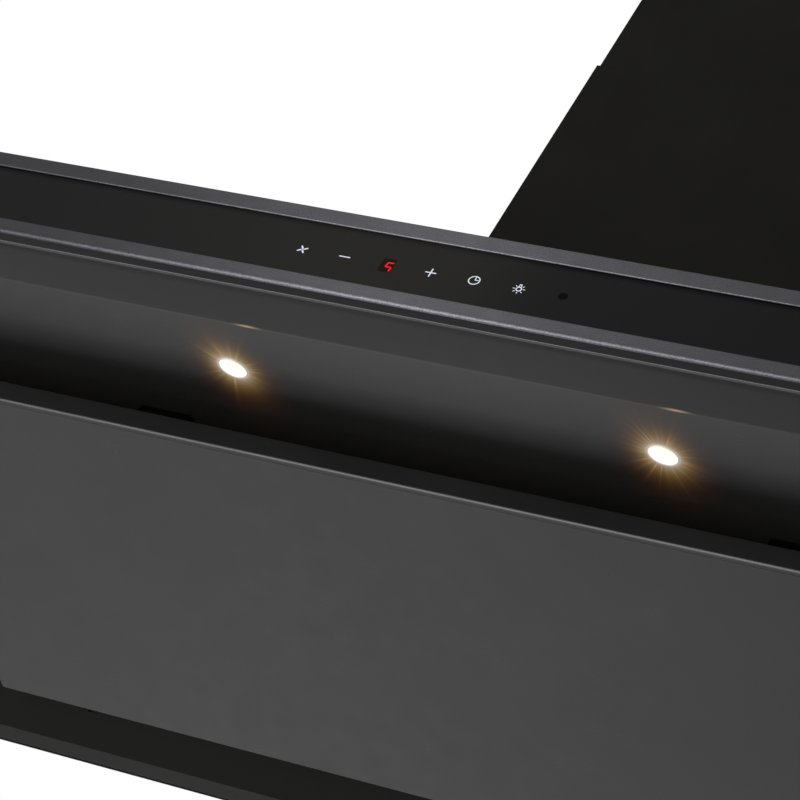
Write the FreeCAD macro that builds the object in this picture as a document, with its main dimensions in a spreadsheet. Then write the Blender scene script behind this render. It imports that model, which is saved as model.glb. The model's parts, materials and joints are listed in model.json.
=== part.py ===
import FreeCAD, Part
import os
import re
import Sketcher

# Chimney range hood. The origin lies on the wall, in the middle of the hood's width, at the level of
# the canopy's lower rim. X runs along the front from left to right, Y into the wall, Z up.
# All sizes are millimetres. A size that starts with "=" follows from others.

SIZES = (
    # canopy
    ("hood_width", 900.0),
    ("hood_depth", 500.0),
    ("hood_height", 65.0),
    ("sheet", 1.0),
    ("seam_gap", 0.4),
    ("cut_margin", 1.0),
    # front frame and glass
    ("frame_depth", 7.2),
    ("frame_lip", 1.0),
    ("frame_edge_radius", 2.5),
    ("frame_corner_radius", 1.2),
    ("window_inset_side", 7.0),
    ("window_bottom", 10.8),
    ("window_top_inset", 11.6),
    ("glass_overlap", 3.0),
    ("glass_thickness", 4.0),
    ("glass_gap", 0.3),
    ("front_flange_height", 7.5),
    # touch controls
    ("key_pitch", 26.0),
    ("key_height", 29.3),
    ("key_spring_radius", 3.5),
    ("carrier_wall", 1.6),
    ("carrier_depth", 16.0),
    ("carrier_height", 36.0),
    ("carrier_margin", 22.0),
    ("board_thickness", 1.6),
    ("board_setback", 6.0),
    ("display_width", 17.0),
    ("display_height", 12.0),
    ("sensor_radius", 2.9),
    # underside
    ("front_rim", 31.1),
    ("side_rim", 18.5),
    ("rear_rim", 17.0),
    ("light_plate_run", 142.0),
    ("light_plate_slope", 12.7),
    ("side_slope_run", 58.0),
    ("rear_slope_run", 50.0),
    ("deck_lip", 6.0),
    ("rim_flange", 9.0),
    ("bend_radius", 1.2),
    ("mitre_gap", 0.3),
    # lamps
    ("lamp_spacing", 264.6),
    ("lamp_setback", 85.5),
    ("lamp_window_radius", 8.1),
    ("lamp_ring_radius", 9.6),
    ("lamp_ring_lip", 0.4),
    ("lamp_barrel_wall", 0.9),
    ("lamp_barrel_height", 7.0),
    ("lamp_recess", 2.4),
    ("lamp_lens_thickness", 1.6),
    ("lamp_fit_gap", 0.1),
    ("lamp_housing_radius", 14.0),
    ("lamp_housing_height", 14.0),
    ("lamp_housing_wall", 1.5),
    # suction panel
    ("panel_side_inset", 60.0),
    ("panel_front_setback", 144.8),
    ("panel_rear_setback", 60.0),
    ("panel_low", 1.5),
    ("panel_flange_height", 14.5),
    ("panel_bend_radius", 2.0),
    ("rib_width", 18.0),
    ("rib_height", 6.5),
    ("rib_end_inset", 20.0),
    ("rib_edge_gap", 1.2),
    # panel hinge and catch
    ("hinge_spread", 660.0),
    ("hinge_axis_setback", 52.0),
    ("hinge_axis_height", 11.0),
    ("hinge_pin_radius", 2.5),
    ("pin_clearance", 0.05),
    ("knuckle_radius", 4.2),
    ("ear_thickness", 4.0),
    ("ear_base_width", 20.0),
    ("lug_thickness", 2.0),
    ("lug_gap", 0.5),
    ("bracket_length", 20.0),
    ("catch_spread", 400.0),
    ("catch_length", 34.0),
    ("catch_width", 14.0),
    ("striker_thickness", 1.5),
    ("catch_gap", 0.3),
    # grease filters
    ("filter_gap", 1.5),
    ("filter_end_gap", 1.0),
    ("filter_thickness", 9.0),
    ("filter_drop", 2.0),
    ("filter_side_member", 10.0),
    ("filter_front_member", 30.0),
    ("filter_skin", 1.0),
    ("mesh_groove", 4.0),
    ("mesh_gap", 0.2),
    ("mesh_sheet", 0.9),
    ("mesh_pleats", 12.0),
    ("tab_length", 7.0),
    ("tab_width", 40.0),
    ("tab_spread", 140.0),
    ("tab_thickness", 1.2),
    ("seat_gap", 0.3),
    ("latch_width", 30.0),
    ("latch_bolt_width", 20.0),
    ("latch_bolt_reach", 5.5),
    ("latch_travel", 5.0),
    ("latch_thickness", 2.0),
    ("latch_plate_length", 10.0),
    ("latch_grip_length", 12.0),
    ("latch_grip_width", 28.0),
    ("latch_grip_height", 3.2),
    ("latch_stem_width", 12.0),
    ("latch_stem_length", 6.0),
    ("latch_gap", 0.3),
    ("latch_cavity_length", 25.0),
    ("latch_spring_radius", 0.9),
    ("latch_spring_wire", 0.3),
    ("latch_spring_turns", 6.0),
    # blower
    ("box_width", 248.0),
    ("box_depth", 236.0),
    ("box_height", 300.0),
    ("box_flange", 13.0),
    ("wall_plate_thickness", 2.0),
    ("wall_hole_radius", 4.25),
    ("wall_hole_inset_side", 17.0),
    ("wall_hole_inset_end", 40.0),
    ("wall_hole_spacing_across", "=box_width - 2 * wall_hole_inset_side"),
    ("wall_hole_spacing_up", "=box_height - 2 * wall_hole_inset_end"),
    ("casing_width", 140.0),
    ("casing_wall", 2.0),
    ("casing_radius", 84.0),
    ("duct_depth", 150.0),
    ("casing_height", 95.0),
    ("casing_joint_gap", 0.2),
    ("inlet_radius", 54.0),
    ("impeller_radius", 62.0),
    ("impeller_width", 112.0),
    ("impeller_ring_depth", 10.0),
    ("impeller_wall", 2.0),
    ("impeller_hub_radius", 12.0),
    ("impeller_hub_length", 16.0),
    ("blade_thickness", 1.4),
    ("blade_inset", 1.0),
    ("blade_lean", 5.0),
    ("blade_count", 36.0),
    ("motor_radius", 40.0),
    ("motor_start", 8.0),
    ("motor_wall", 5.0),
    ("shaft_radius", 4.0),
    ("shaft_stub", 12.0),
    ("bearing_radius", 8.0),
    ("bearing_length", 10.0),
    ("motor_arm_width", 12.0),
    ("motor_bracket_thickness", 2.5),
    ("motor_bracket_overlap", 12.0),
    ("motor_rim_inset", 1.0),
    ("outlet_radius", 75.0),
    ("outlet_wall", 2.0),
    ("outlet_height", 70.0),
    ("outlet_flange_radius", 80.0),
    ("outlet_flange_thickness", 2.5),
    ("outlet_hole_radius", 70.0),
    ("damper_pin_height", 12.0),
    ("damper_pin_radius", 2.0),
    ("damper_thickness", 1.5),
    ("damper_gap", 1.5),
    ("damper_knuckle_radius", 4.0),
    ("damper_knuckle_length", 20.0),
    ("damper_knuckle_near", 13.0),
    ("damper_knuckle_far", 35.0),
    ("capacitor_gap", 5.0),
    ("capacitor_radius", "=(box_width / 2 - outlet_flange_radius) / 2 - capacitor_gap"),
    ("capacitor_offset", "=(box_width / 2 + outlet_flange_radius) / 2"),
    ("capacitor_height", 60.0),
    ("capacitor_stud_radius", 4.0),
    ("capacitor_stud_length", 10.0),
    ("terminal_width", 6.0),
    ("terminal_thickness", 0.8),
    ("terminal_height", 8.0),
    ("electronics_gap", 4.0),
    ("electronics_inset", 2.0),
    ("electronics_width", "=box_width / 2 - electronics_inset - outlet_flange_radius - electronics_gap"),
    ("electronics_depth", 190.0),
    ("electronics_height", 34.0),
    ("electronics_wall", 2.0),
    ("gland_bore_radius", 4.0),
    ("gland_body_radius", 9.0),
    ("gland_height", 12.0),
    ("gland_thread_radius", 6.5),
    ("gland_thread_length", 9.0),
    ("gland_setback", 60.0),
    # chimney
    ("chimney_side_room", 16.0),
    ("chimney_front_room", 7.0),
    ("chimney_width", "=box_width + 2 * chimney_side_room"),
    ("chimney_depth", "=box_depth + chimney_front_room"),
    ("chimney_sheet", 0.8),
    ("chimney_gap", 0.7),
    ("chimney_return", 10.0),
    ("lower_chimney_height", 470.0),
    ("upper_chimney_low", 310.0),
    ("upper_chimney_height", 440.0),
    ("slot_count", 6.0),
    ("slot_pitch", 10.0),
    ("slot_height", 4.0),
    ("slot_length", 110.0),
    ("slot_top_inset", 22.0),
    ("upper_bracket_height", 30.0),
    ("upper_bracket_drop", 5.0),
    ("upper_bracket_sheet", 1.5),
    ("upper_bracket_reach", 42.0),
    ("chimney_bracket_height", 25.0),
    ("chimney_bracket_lift", 10.0),
    ("chimney_bracket_depth", 30.0),
    ("chimney_bracket_setback", 30.0),
    # screws
    ("screw_radius", 1.9),
    ("screw_hole_gap", 0.2),
    ("screw_head_radius", 3.6),
    ("screw_head_height", 1.8),
    ("screw_length", 6.0),
    ("canopy_screw_pitch", 81.0),
)

NAMES = re.compile(r"\b(" + "|".join(name for name, value in SIZES) + r")\b")

# Places worked out from the sizes.
HALF_WIDTH = "(hood_width / 2)"
FRAME_FRONT = "(-hood_depth)"
FRAME_BACK = "(-hood_depth + frame_depth)"
GLASS_FRONT = "(-hood_depth + frame_lip)"
GLASS_BACK = "(-hood_depth + frame_lip + glass_thickness)"
WINDOW_TOP = "(hood_height - window_top_inset)"
CANOPY_TOP = "hood_height"

RIM_FRONT = "(-hood_depth + frame_depth + seam_gap)"
RIM_REAR = "(-sheet - seam_gap)"
RIM_SIDE = "(hood_width / 2 - sheet - seam_gap)"
FRONT_FOLD = "(-hood_depth + frame_depth + seam_gap + front_rim)"
REAR_FOLD = "(-sheet - seam_gap - rear_rim)"
SIDE_FOLD = "(hood_width / 2 - sheet - seam_gap - side_rim)"
DECK = "(light_plate_run * tan(light_plate_slope))"
DECK_FRONT = f"({FRONT_FOLD} + light_plate_run)"
DECK_REAR = f"({REAR_FOLD} - rear_slope_run)"
DECK_SIDE = f"({SIDE_FOLD} - side_slope_run)"
HOLE_FRONT = f"({DECK_FRONT} + deck_lip)"
HOLE_REAR = f"({DECK_REAR} - deck_lip)"
HOLE_SIDE = f"({DECK_SIDE} - deck_lip)"

PANEL_SIDE = "(hood_width / 2 - panel_side_inset)"
PANEL_FRONT = "(-hood_depth + panel_front_setback)"
PANEL_REAR = "(-panel_rear_setback)"
PANEL_TOP = "(panel_low + panel_flange_height)"
PANEL_FLOOR = "(panel_low + sheet)"
RIB_TOP = "(panel_low + sheet + rib_height)"

BOX_TOP = "(hood_height + box_height)"
BOX_FRONT = "(-box_depth)"
BOX_MIDDLE = "(-box_depth / 2)"
FAN_Y = "(-box_depth / 2 - duct_depth / 2 + casing_radius)"
FAN_Z = "(hood_height + casing_height)"
FAN_AXIS = (FAN_Y, FAN_Z)
DAMPER_Z = f"({BOX_TOP} + damper_pin_height)"

CHIMNEY_SIDE = "(chimney_width / 2)"
UPPER_SIDE = "(chimney_width / 2 - chimney_sheet - chimney_gap)"
UPPER_FRONT = "(-chimney_depth + chimney_sheet + chimney_gap)"
UPPER_REAR = "(-chimney_sheet - chimney_gap)"
UPPER_TOP = "(upper_chimney_low + upper_chimney_height)"

document = FreeCAD.newDocument("RangeHood")
sheet = document.addObject("Spreadsheet::Sheet", "Sizes")
for row, (name, value) in enumerate(SIZES, start=1):
    sheet.set(f"A{row}", name)
    sheet.set(f"B{row}", str(value))
    sheet.setAlias(f"B{row}", name)
document.recompute()

subparts = []


def bound(expression):
    """The expression with each size named as the sheet's cell."""
    return NAMES.sub(r"Sizes.\1", expression)


def number(expression):
    """The expression's value now."""
    return float(sheet.evalExpression(bound(expression)))


def bind(item, slot, expression):
    item.setExpression(slot, bound(expression))


def keep(item, label):
    """Marks a finished sub-part, which becomes a node of its own."""
    item.Label = label
    subparts.append(item)
    return item


# ---- primitives and booleans

def block(name, across, along, up):
    """A box from (low, high) places along X, Y and Z."""
    item = document.addObject("Part::Box", name)
    bind(item, "Length", f"({across[1]}) - ({across[0]})")
    bind(item, "Width", f"({along[1]}) - ({along[0]})")
    bind(item, "Height", f"({up[1]}) - ({up[0]})")
    bind(item, "Placement.Base.x", across[0])
    bind(item, "Placement.Base.y", along[0])
    bind(item, "Placement.Base.z", up[0])
    return item


TURNS = {
    "x": FreeCAD.Rotation(FreeCAD.Vector(0, 1, 0), 90),
    "y": FreeCAD.Rotation(FreeCAD.Vector(1, 0, 0), -90),
    "z": FreeCAD.Rotation(),
}


def rod(name, axis, centre, span, radius):
    """A cylinder along an axis: centre gives the two other places, span its two ends."""
    item = document.addObject("Part::Cylinder", name)
    item.Placement = FreeCAD.Placement(FreeCAD.Vector(), TURNS[axis])
    others = [letter for letter in "xyz" if letter != axis]
    bind(item, f"Placement.Base.{others[0]}", centre[0])
    bind(item, f"Placement.Base.{others[1]}", centre[1])
    bind(item, f"Placement.Base.{axis}", span[0])
    bind(item, "Height", f"({span[1]}) - ({span[0]})")
    bind(item, "Radius", radius)
    return item


def joined(name, pieces):
    item = document.addObject("Part::MultiFuse", name)
    item.Shapes = pieces
    item.Refine = True
    return item


def cut(name, base, tools):
    item = document.addObject("Part::Cut", name)
    item.Base = base
    item.Tool = tools[0] if len(tools) == 1 else joined(f"{name}_tools", tools)
    return item


def shared(name, base, tool):
    item = document.addObject("Part::Common", name)
    item.Base = base
    item.Tool = tool
    return item


def group(name, pieces):
    item = document.addObject("Part::Compound", name)
    item.Links = pieces
    return item


# ---- sketches and features

def new_body(name):
    return document.addObject("PartDesign::Body", name)


def sketch_on(body, name, role, lift="0"):
    """A sketch on one of the body's own origin planes, lifted along the plane's normal."""
    plane = [item for item in body.Origin.OriginFeatures if item.Role == role][0]
    sketch = body.newObject("Sketcher::SketchObject", name)
    sketch.AttachmentSupport = [(plane, "")]
    sketch.MapMode = "FlatFace"
    bind(sketch, "AttachmentOffset.Base.z", lift)
    return sketch


def outline(sketch, points):
    """A closed outline of straight lines through the points, each tied to the sizes."""
    first = sketch.GeometryCount
    count = len(points)
    places = [FreeCAD.Vector(number(across), number(up), 0) for across, up in points]
    for index in range(count):
        sketch.addGeometry(Part.LineSegment(places[index], places[(index + 1) % count]), False)
    for index in range(count):
        following = first + (index + 1) % count
        sketch.addConstraint(Sketcher.Constraint("Coincident", first + index, 2, following, 1))
    for index, (across, up) in enumerate(points):
        tie(sketch, "DistanceX", first + index, 1, across)
        tie(sketch, "DistanceY", first + index, 1, up)


def tie(sketch, kind, geometry, point, expression):
    value = number(expression)
    slot = sketch.addConstraint(Sketcher.Constraint(kind, -1, 1, geometry, point, value))
    bind(sketch, f"Constraints[{slot}]", expression)


def rectangle(sketch, across, up):
    outline(sketch, [(across[0], up[0]), (across[1], up[0]), (across[1], up[1]), (across[0], up[1])])


def pad(body, sketch, name, length, centred=False):
    feature = body.newObject("PartDesign::Pad", name)
    feature.Profile = sketch
    bind(feature, "Length", length)
    if centred:
        feature.SideType = "Symmetric"
    document.recompute()
    return feature


def pocket(body, sketch, name, length, centred=False, turned=False):
    """Cuts the sketch out, and makes sure that it did."""
    before = body.Shape.Volume
    feature = body.newObject("PartDesign::Pocket", name)
    feature.Profile = sketch
    bind(feature, "Length", length)
    feature.Reversed = turned
    if centred:
        feature.SideType = "Symmetric"
    document.recompute()
    if body.Shape.Volume >= before:
        raise RuntimeError(f"{name} cuts nothing")
    return feature


def edges_at(shape, places):
    """Names of the edges that lie wholly at the given places, such as {"y": "-hood_depth"}."""
    wanted = {axis: number(expression) for axis, expression in places.items()}
    found = []
    for index, edge in enumerate(shape.Edges, start=1):
        ends = [edge.valueAt(edge.FirstParameter), edge.valueAt(edge.LastParameter)]
        middle = edge.valueAt((edge.FirstParameter + edge.LastParameter) / 2)
        spots = ends + [middle]
        if all(abs(getattr(spot, axis) - place) < 1e-4 for spot in spots for axis, place in wanted.items()):
            found.append(f"Edge{index}")
    return found


def rounded(body, name, feature, picks, radius):
    """Rounds the edges of a feature that each pick names by its places."""
    names = []
    for places in picks:
        found = edges_at(feature.Shape, places)
        if not found:
            raise RuntimeError(f"{name} finds no edge at {places}")
        names += [edge for edge in found if edge not in names]
    fillet = body.newObject("PartDesign::Fillet", name)
    fillet.Base = (feature, names)
    bind(fillet, "Radius", radius)
    document.recompute()
    return fillet


def revolved(body, sketch, name):
    """Turns a sketch on the body's XZ plane all the way round Z."""
    feature = body.newObject("PartDesign::Revolution", name)
    feature.Profile = sketch
    feature.ReferenceAxis = (sketch, ["V_Axis"])
    feature.Angle = 360
    document.recompute()
    return feature


def repeated(body, kind, axis_role, count, reach):
    """Repeats the body's last feature: along an axis over a length, or round it over an angle."""
    axis = [item for item in body.Origin.OriginFeatures if item.Role == axis_role][0]
    feature = body.newObject(f"PartDesign::{kind}", f"{body.Name}_repeat")
    feature.Originals = [body.Tip]
    if kind == "LinearPattern":
        feature.Direction = (axis, [""])
        bind(feature, "Length", reach)
    else:
        feature.Axis = (axis, [""])
        bind(feature, "Angle", reach)
    bind(feature, "Occurrences", count)
    body.Tip = feature
    document.recompute()


# ---- canopy

def canopy_shell():
    """Folded top, sides and back, with a short front flange that the front frame sits on."""
    outside = block("shell_outside", (f"-{HALF_WIDTH}", HALF_WIDTH), (FRAME_BACK, "0"), ("0", CANOPY_TOP))
    inner_side = f"({HALF_WIDTH} - sheet)"
    inside = block("shell_inside", (f"-{inner_side}", inner_side), (f"{FRAME_BACK} + sheet", "-sheet"),
                   ("-sheet", f"{CANOPY_TOP} - sheet"))
    mouth = block("shell_mouth", (f"-{inner_side}", inner_side),
                  (f"{FRAME_BACK} - sheet", f"{FRAME_BACK} + 2 * sheet"),
                  ("-sheet", f"{CANOPY_TOP} - front_flange_height"))
    well_side = "(box_width / 2 - box_flange)"
    well = block("shell_well", (f"-{well_side}", well_side), (f"{BOX_FRONT} + box_flange", "-box_flange"),
                 (f"{CANOPY_TOP} - 2 * sheet", f"{CANOPY_TOP} + sheet"))
    tools = [inside, mouth, well]
    for name, x, y in canopy_screw_places():
        span = (f"{CANOPY_TOP} - 2 * sheet", f"{CANOPY_TOP} + sheet")
        tools.append(rod(f"shell_hole_{name}", "z", (x, y), span, "screw_radius + screw_hole_gap"))
    keep(cut("canopy_shell", outside, tools), "canopy_shell")


def canopy_screw_places():
    places = []
    for side, sign in (("left", "-1"), ("right", "1")):
        for row in (-1, 0, 1):
            x = f"({sign} * (box_width / 2 - box_flange / 2))"
            y = f"({BOX_MIDDLE} + {row} * canopy_screw_pitch)"
            places.append((f"{side}_{row + 1}", x, y))
    return places


def front_frame():
    """Metal frame round the glass: rounded outside, a thin lip in front, a rebate behind for the glass."""
    body = new_body("front_frame")
    face = sketch_on(body, "frame_face", "XZ_Plane", f"-{FRAME_BACK}")
    rectangle(face, (f"-{HALF_WIDTH}", HALF_WIDTH), ("0", CANOPY_TOP))
    blank = pad(body, face, "frame_blank", "frame_depth")
    ends = [{"x": f"{sign}{HALF_WIDTH}", "y": FRAME_FRONT} for sign in ("-", "")]
    top = {"y": FRAME_FRONT, "z": CANOPY_TOP}
    soft = rounded(body, "frame_soft_edges", blank, ends + [top], "frame_corner_radius")
    rounded(body, "frame_lower_edge", soft, [{"y": FRAME_FRONT, "z": "0"}], "frame_edge_radius")

    window = sketch_on(body, "frame_window", "XZ_Plane", f"-{FRAME_BACK}")
    window_side = f"({HALF_WIDTH} - window_inset_side)"
    rectangle(window, (f"-{window_side}", window_side), ("window_bottom", WINDOW_TOP))
    pocket(body, window, "frame_window_cut", "3 * frame_depth", centred=True)

    rebate = sketch_on(body, "frame_rebate", "XZ_Plane", f"-{FRAME_BACK}")
    rebate_side = f"({window_side} + glass_overlap)"
    rectangle(rebate, (f"-{rebate_side}", rebate_side),
              ("window_bottom - glass_overlap", f"{WINDOW_TOP} + glass_overlap"))
    pocket(body, rebate, "frame_rebate_cut", "frame_depth - frame_lip", turned=True)
    keep(body, "front_frame")


def glass_fascia():
    side = f"({HALF_WIDTH} - window_inset_side + glass_overlap - glass_gap)"
    low = "window_bottom - glass_overlap + glass_gap"
    high = f"{WINDOW_TOP} + glass_overlap - glass_gap"
    pane = block("glass_fascia", (f"-{side}", side), (GLASS_FRONT, GLASS_BACK), (low, high))
    keep(pane, "glass_fascia")


# ---- touch controls

CONTROLS = ("fan", "minus", "display", "plus", "clock", "lamp", "sensor")
KEYS = ("fan", "minus", "plus", "clock", "lamp")
CARRIER_SIDE = "(3 * key_pitch + carrier_margin)"
CARRIER_BACK = f"({GLASS_BACK} + carrier_depth)"
CARRIER_LOW = "(key_height - carrier_height / 2)"
CARRIER_HIGH = "(key_height + carrier_height / 2)"
BOARD_FRONT = f"({GLASS_BACK} + board_setback)"


def control_x(name):
    """Place of a control along the glass: the row is centred on its middle one."""
    step = CONTROLS.index(name) - len(CONTROLS) // 2
    return f"({step} * key_pitch)"


def touch_controls():
    """Tray behind the glass with the board, its key springs, the display and the remote sensor."""
    tray = block("carrier_outside", (f"-{CARRIER_SIDE}", CARRIER_SIDE), (GLASS_BACK, CARRIER_BACK),
                 (CARRIER_LOW, CARRIER_HIGH))
    hollow = block("carrier_hollow", (f"-{CARRIER_SIDE} + carrier_wall", f"{CARRIER_SIDE} - carrier_wall"),
                   (f"{GLASS_BACK} - carrier_wall", f"{CARRIER_BACK} - carrier_wall"),
                   (f"{CARRIER_LOW} + carrier_wall", f"{CARRIER_HIGH} - carrier_wall"))
    ledge = block("carrier_ledge", (f"-{CARRIER_SIDE} + carrier_wall", f"{CARRIER_SIDE} - carrier_wall"),
                  (f"{BOARD_FRONT} + board_thickness", f"{BOARD_FRONT} + 2 * board_thickness"),
                  (f"{CARRIER_LOW} + carrier_wall", f"{CARRIER_LOW} + 3 * carrier_wall"))
    shell = cut("carrier_shell", tray, [hollow])
    keep(joined("control_carrier", [shell, ledge]), "control_carrier")

    board = block("touch_board", (f"-{CARRIER_SIDE} + 2 * carrier_wall",
                                  f"{CARRIER_SIDE} - 2 * carrier_wall"),
                  (BOARD_FRONT, f"{BOARD_FRONT} + board_thickness"),
                  (f"{CARRIER_LOW} + carrier_wall + seat_gap", f"{CARRIER_HIGH} - 2 * carrier_wall"))
    keep(board, "touch_board")

    springs = []
    for key in KEYS:
        centre = (control_x(key), "key_height")
        spring = rod(f"touch_spring_{key}", "y", centre, (GLASS_BACK, BOARD_FRONT), "key_spring_radius")
        core = rod(f"touch_spring_{key}_core", "y", centre, (GLASS_BACK, BOARD_FRONT),
                   "key_spring_radius / 2")
        springs.append(cut(f"touch_spring_{key}_coil", spring, [core]))
    keep(group("touch_springs", springs), "touch_springs")

    display_x = control_x("display")
    display = block("speed_display", (f"{display_x} - display_width / 2",
                                      f"{display_x} + display_width / 2"),
                    (GLASS_BACK, BOARD_FRONT), ("key_height - display_height / 2",
                                                "key_height + display_height / 2"))
    keep(display, "speed_display")
    sensor = rod("ir_receiver", "y", (control_x("sensor"), "key_height"), (GLASS_BACK, BOARD_FRONT),
                 "sensor_radius")
    keep(sensor, "ir_receiver")


# ---- underside

def bent_plate(name, role, points, bends, length):
    """A folded sheet of one section, run along its length, with its outer bends rounded."""
    body = new_body(f"{name}_section")
    section = sketch_on(body, f"{name}_profile", role)
    outline(section, points)
    run = pad(body, section, f"{name}_run", length, centred=True)
    rounded(body, f"{name}_bends", run, bends, "bend_radius")
    return body


def plan(name, points):
    """An upright prism over a plan outline, taller than the underside."""
    body = new_body(f"{name}_plan")
    shape = sketch_on(body, f"{name}_corners", "XY_Plane", "-hood_height")
    outline(shape, points)
    pad(body, shape, f"{name}_prism", "3 * hood_height")
    return body


def front_light_plate():
    """Rim, fold and sloping light plate behind the front frame, up to the filter deck."""
    steep = "sheet / cos(light_plate_slope)"
    lip = f"({DECK} + sheet)"
    points = [
        (RIM_FRONT, "0"),
        (FRONT_FOLD, "0"),
        (DECK_FRONT, DECK),
        (HOLE_FRONT, DECK),
        (HOLE_FRONT, lip),
        (f"{DECK_FRONT} - ({steep} - sheet) / tan(light_plate_slope)", lip),
        (f"{FRONT_FOLD} - ({steep} - sheet) / tan(light_plate_slope)", "sheet"),
        (f"{RIM_FRONT} + sheet", "sheet"),
        (f"{RIM_FRONT} + sheet", "rim_flange"),
        (RIM_FRONT, "rim_flange"),
    ]
    section = bent_plate("front_light_plate", "YZ_Plane", points, [{"y": RIM_FRONT, "z": "0"}],
                         "2 * hood_width")
    trimmed = shared("front_light_plate_trim", section, plan("front_light_plate", mitred_end("front")))
    holes = []
    for side, sign in (("left", "-1"), ("right", "1")):
        hole = document.addObject("Part::Cylinder", f"lamp_hole_{side}")
        bind(hole, "Radius", "lamp_window_radius + lamp_barrel_wall + lamp_fit_gap")
        bind(hole, "Height", "8 * sheet")
        tilt(hole, sign, "-4 * sheet")
        holes.append(hole)
    keep(cut("front_light_plate", trimmed, holes), "front_light_plate")


def mitred_end(end):
    """The plan of the front or rear plate: its ends follow the folds of the side plates."""
    near = {"front": (RIM_FRONT, FRONT_FOLD, DECK_FRONT, HOLE_FRONT),
            "rear": (RIM_REAR, REAR_FOLD, DECK_REAR, HOLE_REAR)}[end]
    across = (RIM_SIDE, SIDE_FOLD, DECK_SIDE, HOLE_SIDE)
    right = [(f"{x} - mitre_gap", y) for x, y in zip(across, near)]
    left = [(f"-({x} - mitre_gap)", y) for x, y in zip(across, near)]
    return right + left[::-1]


def side_plate(side, sign):
    """Rim, fold and steeper slope along one side of the underside."""
    fold_step = "((sqrt(side_slope_run ^ 2 + deck_rise ^ 2) - side_slope_run) / deck_rise * sheet)"
    fold_step = fold_step.replace("deck_rise", DECK)
    lip = f"({DECK} + sheet)"
    points = [
        (f"{sign} * {RIM_SIDE}", "0"),
        (f"{sign} * {SIDE_FOLD}", "0"),
        (f"{sign} * {DECK_SIDE}", DECK),
        (f"{sign} * {HOLE_SIDE}", DECK),
        (f"{sign} * {HOLE_SIDE}", lip),
        (f"{sign} * ({DECK_SIDE} + {fold_step})", lip),
        (f"{sign} * ({SIDE_FOLD} + {fold_step})", "sheet"),
        (f"{sign} * ({RIM_SIDE} - sheet)", "sheet"),
        (f"{sign} * ({RIM_SIDE} - sheet)", "rim_flange"),
        (f"{sign} * {RIM_SIDE}", "rim_flange"),
    ]
    bends = [{"x": f"{sign} * {RIM_SIDE}", "z": "0"}]
    section = bent_plate(f"{side}_side_plate", "XZ_Plane", points, bends, "3 * hood_depth")
    front = (RIM_FRONT, FRONT_FOLD, DECK_FRONT, HOLE_FRONT)
    rear = (RIM_REAR, REAR_FOLD, DECK_REAR, HOLE_REAR)
    across = (RIM_SIDE, SIDE_FOLD, DECK_SIDE, HOLE_SIDE)
    forward = [(f"{sign} * {x}", y) for x, y in zip(across, front)]
    backward = [(f"{sign} * {x}", y) for x, y in zip(across, rear)]
    area = plan(f"{side}_side_plate", forward + backward[::-1])
    keep(shared(f"{side}_side_plate", section, area), f"{side}_side_plate")


def rear_plate():
    """Rim, fold and slope along the wall."""
    fold_step = "((sqrt(rear_slope_run ^ 2 + deck_rise ^ 2) - rear_slope_run) / deck_rise * sheet)"
    fold_step = fold_step.replace("deck_rise", DECK)
    lip = f"({DECK} + sheet)"
    points = [
        (RIM_REAR, "0"),
        (REAR_FOLD, "0"),
        (DECK_REAR, DECK),
        (HOLE_REAR, DECK),
        (HOLE_REAR, lip),
        (f"{DECK_REAR} + {fold_step}", lip),
        (f"{REAR_FOLD} + {fold_step}", "sheet"),
        (f"{RIM_REAR} - sheet", "sheet"),
        (f"{RIM_REAR} - sheet", "rim_flange"),
        (RIM_REAR, "rim_flange"),
    ]
    section = bent_plate("rear_plate", "YZ_Plane", points, [{"y": RIM_REAR, "z": "0"}], "2 * hood_width")
    keep(shared("rear_plate", section, plan("rear_plate", mitred_end("rear"))), "rear_plate")


# ---- lamps

LAMP_RISE = f"((lamp_setback - hood_depth - {FRONT_FOLD}) * tan(light_plate_slope))"


def tilt(item, sign, lift="0"):
    """Stands an item on the light plate at one lamp, square to the slope, lifted along its own axis."""
    item.Placement = FreeCAD.Placement(FreeCAD.Vector(), FreeCAD.Rotation(FreeCAD.Vector(1, 0, 0), 1))
    bind(item, "Placement.Rotation.Angle", "light_plate_slope")
    bind(item, "Placement.Base.x", f"{sign} * lamp_spacing / 2")
    bind(item, "Placement.Base.y", f"-hood_depth + lamp_setback - ({lift}) * sin(light_plate_slope)")
    bind(item, "Placement.Base.z", f"{LAMP_RISE} + ({lift}) * cos(light_plate_slope)")


def turned_piece(name, sign, points):
    """A round lamp piece: points are (radius, height) over the light plate's lower face."""
    body = new_body(name)
    section = sketch_on(body, f"{name}_profile", "XZ_Plane")
    outline(section, points)
    revolved(body, section, f"{name}_turn")
    tilt(body, sign)
    keep(body, name)


def lamp(side, sign):
    """Recessed spot: a ring with a barrel through the plate, a lens inside it and a housing on top."""
    barrel = "(lamp_window_radius + lamp_barrel_wall)"
    turned_piece(f"lamp_bezel_{side}", sign, [
        ("lamp_window_radius", "-lamp_ring_lip"),
        ("lamp_ring_radius", "-lamp_ring_lip"),
        ("lamp_ring_radius", "0"),
        (barrel, "0"),
        (barrel, "lamp_barrel_height"),
        ("lamp_window_radius", "lamp_barrel_height"),
    ])
    lens = "(lamp_window_radius - lamp_fit_gap)"
    turned_piece(f"lamp_lens_{side}", sign, [
        ("0", "lamp_recess"),
        (lens, "lamp_recess"),
        (lens, "lamp_recess + lamp_lens_thickness"),
        ("0", "lamp_recess + lamp_lens_thickness"),
    ])
    inner = f"({barrel} + lamp_fit_gap)"
    turned_piece(f"lamp_housing_{side}", sign, [
        (inner, "sheet"),
        ("lamp_housing_radius", "sheet"),
        ("lamp_housing_radius", "sheet + lamp_housing_height"),
        ("0", "sheet + lamp_housing_height"),
        ("0", "sheet + lamp_housing_height - lamp_housing_wall"),
        (inner, "sheet + lamp_housing_height - lamp_housing_wall"),
    ])


# ---- suction panel

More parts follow.
